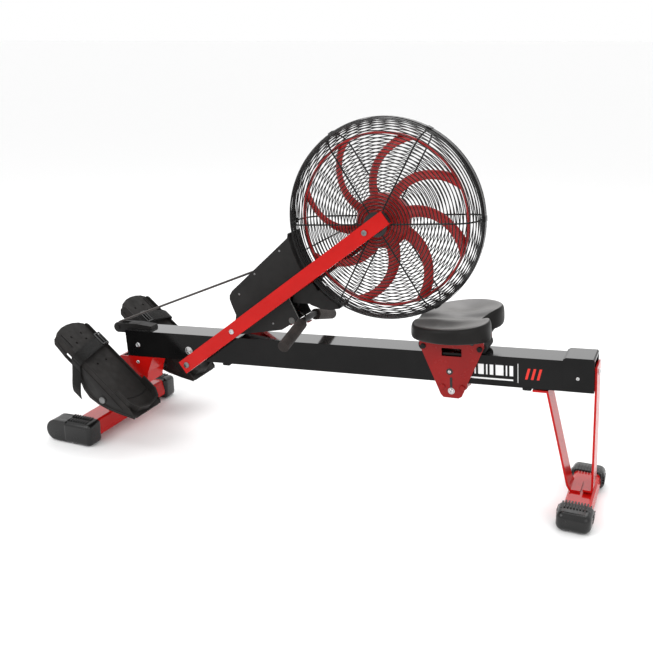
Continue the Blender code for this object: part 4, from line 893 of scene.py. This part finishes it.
def make_front_shoe(word, side):
    """A cap over the end of the front tube, with ribs on top and two lobes that hold the wheel."""
    lo_y, hi_y = ordered(side, 0.1892, 0.2560)
    bm = rounded_cap((FRONT_SHOE_X[0], lo_y, SHOE_FLOOR), (FRONT_SHOE_X[1], hi_y, 0.0800),
                     0.0150, (0.03, 0.08))
    lobe = arc(*WHEEL_CENTRE, 0.0355, -pi / 2 - 0.3, -3 * pi / 2, 14)
    lobe = [(-0.7900, 0.0040)] + lobe + [(-0.7900, 0.0760)]
    for inner, outer in ((0.1895, 0.1985), (0.2340, 0.2545)):
        y0, y1 = ordered(side, inner, outer)
        merge(bm, prism(lobe, y0, y1, 0.0035, 4))
    hood = (arc(*WHEEL_CENTRE, 0.0350, 2.9, pi / 2, 8) + [(-0.7900, 0.0745), (-0.7900, 0.0660)]
            + arc(*WHEEL_CENTRE, 0.0305, pi / 2, 2.9, 8))
    y0, y1 = ordered(side, 0.1970, 0.2350)
    merge(bm, prism(hood, y0, y1))
    for row in range(2):
        start = 0.1990 + 0.0250 * row
        y0, y1 = ordered(side, start, start + 0.0195)
        for i in range(8):
            x = -0.7900 + 0.0098 * i
            merge(bm, slab((x, y0, 0.0740), (x + 0.0056, y1, 0.0832 - 0.0030 * row), 0.0016, 2))
    piece("front_shoe_" + word, bm, GLOSSY, "frame", ["front_cap_" + word], angle=50)


def make_rear_shoe(word, side):
    """A cap over the end of the rear tube, with ribs across its top and down both its ends."""
    lo_y, hi_y = ordered(side, 0.0985, 0.1755)
    bm = rounded_cap((REAR_SHOE_X[0], lo_y, SHOE_FLOOR), (REAR_SHOE_X[1], hi_y, 0.0585),
                     0.0190, (0.10, 0.10))
    y0, y1 = ordered(side, 0.1000, 0.1400)
    for i in range(10):
        x = 0.7800 + 0.0084 * i
        edge = max(0.0, abs(x + 0.0024 - 0.820) - 0.028)
        top = 0.0602 - 0.0130 * (edge / 0.017) ** 2
        merge(bm, slab((x, y0, top - 0.016), (x + 0.0048, y1, top), 0.0012, 2))
    y0, y1 = ordered(side, 0.1020, 0.1380)
    for end, sign in zip(REAR_SHOE_X, (-1, 1)):
        x0, x1 = sorted((end, end + sign * 0.0010 - sign * 0.004))
        for k in range(3):
            z = 0.022 + 0.0085 * k
            merge(bm, slab((x0, y0, z), (x1, y1, z + 0.0048), 0.0010, 2))
    piece("rear_shoe_" + word, bm, GLOSSY, "frame", ["rear_cap_" + word], angle=50)


COVER_SCREWS = ((-0.105, 0.665), (-0.190, 0.585), (-0.245, 0.515), (-0.225, 0.410), (-0.130, 0.435),
                (-0.075, 0.560))


def make_cover_details():
    """A painted highlight, which is a light grey line along an edge, and a boss, on the near face of the
    drive cover, and screws on both faces.
    """
    bm = bmesh.new()
    # A light grey tube is the painted highlight along the cover's edge by the mouth.
    edge = [(-0.0415, -0.0442, 0.4605), (-0.0795, -0.0442, 0.5310)]
    merge(bm, tube(edge, 0.0011, 8))
    piece("cover_edge_highlight", bm, GREY, "fan_frame")
    bm = lathe([(0, -0.0460), (0.0085, -0.0460), (0.0100, -0.0452), (0.0105, -0.0436), (0.0, -0.0436)], 32,
               centre=(-0.066, 0.0, 0.4520))
    piece("cover_boss", bm, GREY, "fan_frame")
    bm = bmesh.new()
    for x, z in COVER_SCREWS:
        for side in (-1, 1):
            merge(bm, bolt_head(0.0034, 0.0012, x, side * 0.0440, z, side))
    piece("cover_screws", bm, DARK_STEEL, "fan_frame")


# ---------------------------------------------------------------- cord and chain

PULLEY = (-0.7275, 0.3385)
CORD_EXIT = Vector((-0.2300, 0.0, 0.5740))
CORD_RADIUS = 0.0036
CORD_REACH = 0.0149
CORD_LEAVES = 113
MOUTH_IDLER = (-0.0860, 0.4860)
CORD_IDLER = (-0.1060, 0.6460)
IDLER_REACH = 0.0158
SPROCKET_REACH = 0.0288
CHAIN_HALF = (0.0029, 0.0024)
CHAIN_Y = 0.016
CHAIN_LEAVES = radians(255.3)
GRIP_POINT = Vector((-0.0412, 0.004, 0.4578))


def pulley_point(degrees):
    """A point of the cord's middle line where it lies on the front pulley."""
    angle = radians(degrees)
    return Vector((PULLEY[0] + CORD_REACH * cos(angle), 0.0, PULLEY[1] + CORD_REACH * sin(angle)))


def slack_run():
    """Direction of the cord's straight run, from the front pulley up into the cover."""
    return (CORD_EXIT - pulley_point(CORD_LEAVES)).normalized()


def make_cord():
    """The stretch that the fold bends, and the stretch that stays inside the beam."""
    route = [CORD_EXIT + slack_run() * 0.045, CORD_EXIT]
    route += [CORD_EXIT.lerp(pulley_point(CORD_LEAVES), f) for f in (0.25, 0.5, 0.75, 0.92)]
    route += [pulley_point(a) for a in (CORD_LEAVES, 150, 185, 220, 250, 276)]
    obj = piece("return_cord_braid", tube(smooth_route(route, 0.008), CORD_RADIUS, 12), CORD, None, angle=0)
    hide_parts("return_cord")
    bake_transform(obj)
    route = [pulley_point(a) for a in (250, 276)]
    inside = ((0.030, 0.024), (0.10, 0.016), (0.30, 0.008), (0.60, 0.004), (0.86, 0.004))
    route += [BEAM @ Vector((s, 0, t)) for s, t in inside]
    # A little thinner than the other stretch, so that their surfaces don't coincide where they overlap.
    bm = tube(smooth_route(route, 0.012), CORD_RADIUS - 0.00005, 12)
    piece("return_cord_in_beam", bm, CORD, "frame", angle=0)


def strip(points):
    """A chain run: a narrow band along points whose width lies along Y, waisted between its links."""
    bm = bmesh.new()
    half_width, half_thick = CHAIN_HALF
    rows = []
    for i, p in enumerate(points):
        run = points[min(i + 1, len(points) - 1)] - points[max(i - 1, 0)]
        up = Vector((-run.z, 0.0, run.x)).normalized()
        waist = 1.0 if i % 2 else 0.72
        row = []
        for a, b in ((-1, -1), (1, -1), (1, 1), (-1, 1)):
            across = Vector((0.0, a * half_width * waist, 0.0))
            row.append(bm.verts.new(p + across + up * half_thick * b * waist))
        rows.append(row)
    for a, b in zip(rows, rows[1:]):
        for i in range(4):
            j = (i + 1) % 4
            bm.faces.new((a[i], a[j], b[j], b[i]))
    bm.faces.new(list(reversed(rows[0])))
    bm.faces.new(rows[-1])
    return bm


def tangent(a, reach_a, b, reach_b, turn):
    """Direction of the run that leaves circle a on one side and meets circle b on the other."""
    away = Vector((b[0] - a[0], b[1] - a[1]))
    return atan2(away.y, away.x) + turn * asin((reach_a + reach_b) / away.length)


def make_chain():
    """The run over the sprocket, and the short run from the mouth to the handle, which the pull draws out."""
    hub = (HUB.x, HUB.z)
    pull = tangent(MOUTH_IDLER, IDLER_REACH, hub, SPROCKET_REACH, -1)
    back = tangent(CORD_IDLER, IDLER_REACH, hub, SPROCKET_REACH, 1)
    slack = slack_run()
    flat = arc(*MOUTH_IDLER, IDLER_REACH, CHAIN_LEAVES, pull + pi / 2, 9)
    flat += arc(*hub, SPROCKET_REACH, pull - pi / 2, back + pi / 2, 12)
    flat += arc(*CORD_IDLER, IDLER_REACH, back - pi / 2, atan2(slack.z, slack.x) - pi / 2, 3)
    knots = [Vector((x, CHAIN_Y, z)) for x, z in flat]
    inner = CORD_EXIT + slack * 0.048
    knots.append(Vector((inner.x, 0.004, inner.z)))
    points = []
    for a, b in zip(knots, knots[1:]):
        steps = max(1, round((b - a).length / 0.0045))
        points += [a.lerp(b, k / steps) for k in range(steps)]
    points.append(knots[-1])
    piece("chain_run", strip(points), CHAIN, "fan_frame", ["drive_chain"], angle=30)
    points = [knots[0].lerp(GRIP_POINT, k / 24) for k in range(25)]
    obj = piece("chain_pull", strip(points), CHAIN, None, angle=30)
    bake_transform(obj)


# ---------------------------------------------------------------- CAD nodes that stay

def dress(names, mat, bevel=0.0, segments=2):
    """Gives CAD nodes their material, and rounds their sharp edges by a bevel modifier."""
    for name in names:
        obj = NODES[name]
        for slot in range(len(obj.data.materials)):
            obj.data.materials[slot] = mat
        for slot in obj.material_slots:
            slot.material = mat
        if bevel:
            rounded = obj.modifiers.new("rounded", "BEVEL")
            rounded.width = bevel
            rounded.segments = segments
            rounded.limit_method = "ANGLE"
            rounded.angle_limit = radians(40)
            rounded.harden_normals = False


def dress_cad():
    """Materials and edge rounding of every CAD node that no piece replaces."""
    dress(["arm_near", "arm_far"], RED, 0.0018, 3)
    dress(["front_stabilizer", "rear_stabilizer", "front_post", "rear_leg", "rear_strut"], RED, 0.0015, 3)
    dress(["seat_plate_near", "seat_plate_far", "handle_cradle"], DEEP_RED, 0.0007)
    dress(["roller_low_front", "roller_low_rear"], DEEP_RED)
    dress(["main_beam"], BLACK, 0.0014, 3)
    dress(["rear_end_cap"], BLACK, 0.0012, 3)
    dress(["front_end_plug", "pulley_bracket", "arm_plug_near", "arm_plug_far", "seat_base", "front_pulley"],
          PLASTIC, 0.0006)
    dress(["drive_cover_near", "drive_cover_far"], CHARCOAL, 0.0014)
    dress(["chain_guard"], CHARCOAL, 0.0030, 3)
    dress(["footplate_near", "footplate_far"], TREAD, 0.0007)
    dress(["front_bumper", "rear_bumper", "transport_wheel_near", "transport_wheel_far", "roller_top_front",
           "roller_top_rear"], RUBBER)
    dress(["beam_bolt_front", "beam_bolt_lock", "cord_anchor", "cover_bolt", "fan_axle"], STEEL)
    dress(["pivot_bolt", "pedal_axle", "drive_sprocket"], DARK_STEEL)
    dress(["handle_bar", "mouth_idler", "cord_idler"], PLASTIC)
    dress(["grip_near", "grip_far"], FOAM, 0.003, 3)


# ---------------------------------------------------------------- stage

# Each soft light: its name, place, the point it faces, size and power in watts.
LIGHTS = (("key", (-1.6, -2.2, 3.0), (0, 0, 0.4), 2.2, 40.0),
          ("fill", (2.6, -2.4, 2.2), (0.2, 0, 0.4), 2.6, 24.0),
          ("top", (0.3, 1.6, 3.2), (0, 0, 0.3), 3.0, 50.0))
FLOOR_SIZE = 400.0
FLOOR_DROP = 0.0002
CAMERA_PLACE = (1.0416, -2.3629, 1.2678)
CAMERA_FACING = (-0.3764, 0.8749, -0.3047)
CAMERA_LENS = 48.97
CAMERA_SENSOR = 36.0
CAMERA_SHIFT = (0.0020, -0.0062)


def aim(obj, direction):
    """Turns a camera or a light to face along a direction."""
    obj.rotation_euler = Vector(direction).to_track_quat("-Z", "Y").to_euler()


def make_stage():
    """A pale floor, a white world and three soft lights."""
    bm = bmesh.new()
    under = Matrix.Translation((0, 0, -FLOOR_DROP))
    bmesh.ops.create_grid(bm, x_segments=1, y_segments=1, size=FLOOR_SIZE, matrix=under)
    floor = piece("floor", bm, floor_look("floor_paper"), None)
    world = bpy.context.scene.world or bpy.data.worlds.new("world")
    bpy.context.scene.world = world
    world.use_nodes = True
    world.node_tree.nodes["Background"].inputs["Color"].default_value = (1.0, 1.0, 1.0, 1.0)
    world.node_tree.nodes["Background"].inputs["Strength"].default_value = 1.0
    bpy.context.scene.view_settings.view_transform = "Standard"
    for name, place, target, size, energy in LIGHTS:
        lamp = bpy.data.lights.new(name, "AREA")
        lamp.size = size
        lamp.energy = energy
        obj = bpy.data.objects.new(name, lamp)
        obj.location = place
        aim(obj, Vector(target) - Vector(place))
        bpy.context.scene.collection.objects.link(obj)


def make_camera():
    """The view that the picture is judged from. Depth of field stays off."""
    data = bpy.data.cameras.new("camera")
    data.sensor_width = CAMERA_SENSOR
    data.lens = CAMERA_LENS
    data.shift_x, data.shift_y = CAMERA_SHIFT
    camera = bpy.data.objects.new("camera", data)
    camera.location = CAMERA_PLACE
    aim(camera, CAMERA_FACING)
    bpy.context.scene.collection.objects.link(camera)
    bpy.context.scene.camera = camera


dress_cad()
make_cage()
make_fan()
make_saddle()
make_carriage_details()
for word, side in (("near", -1), ("far", 1)):
    make_strap(word, side)
    make_pedal_details(word, side)
make_beam_print()
make_beam_details()
for word, side in (("near", -1), ("far", 1)):
    make_front_shoe(word, side)
    make_rear_shoe(word, side)
make_cover_details()
make_cord()
make_chain()
make_stage()
make_camera()
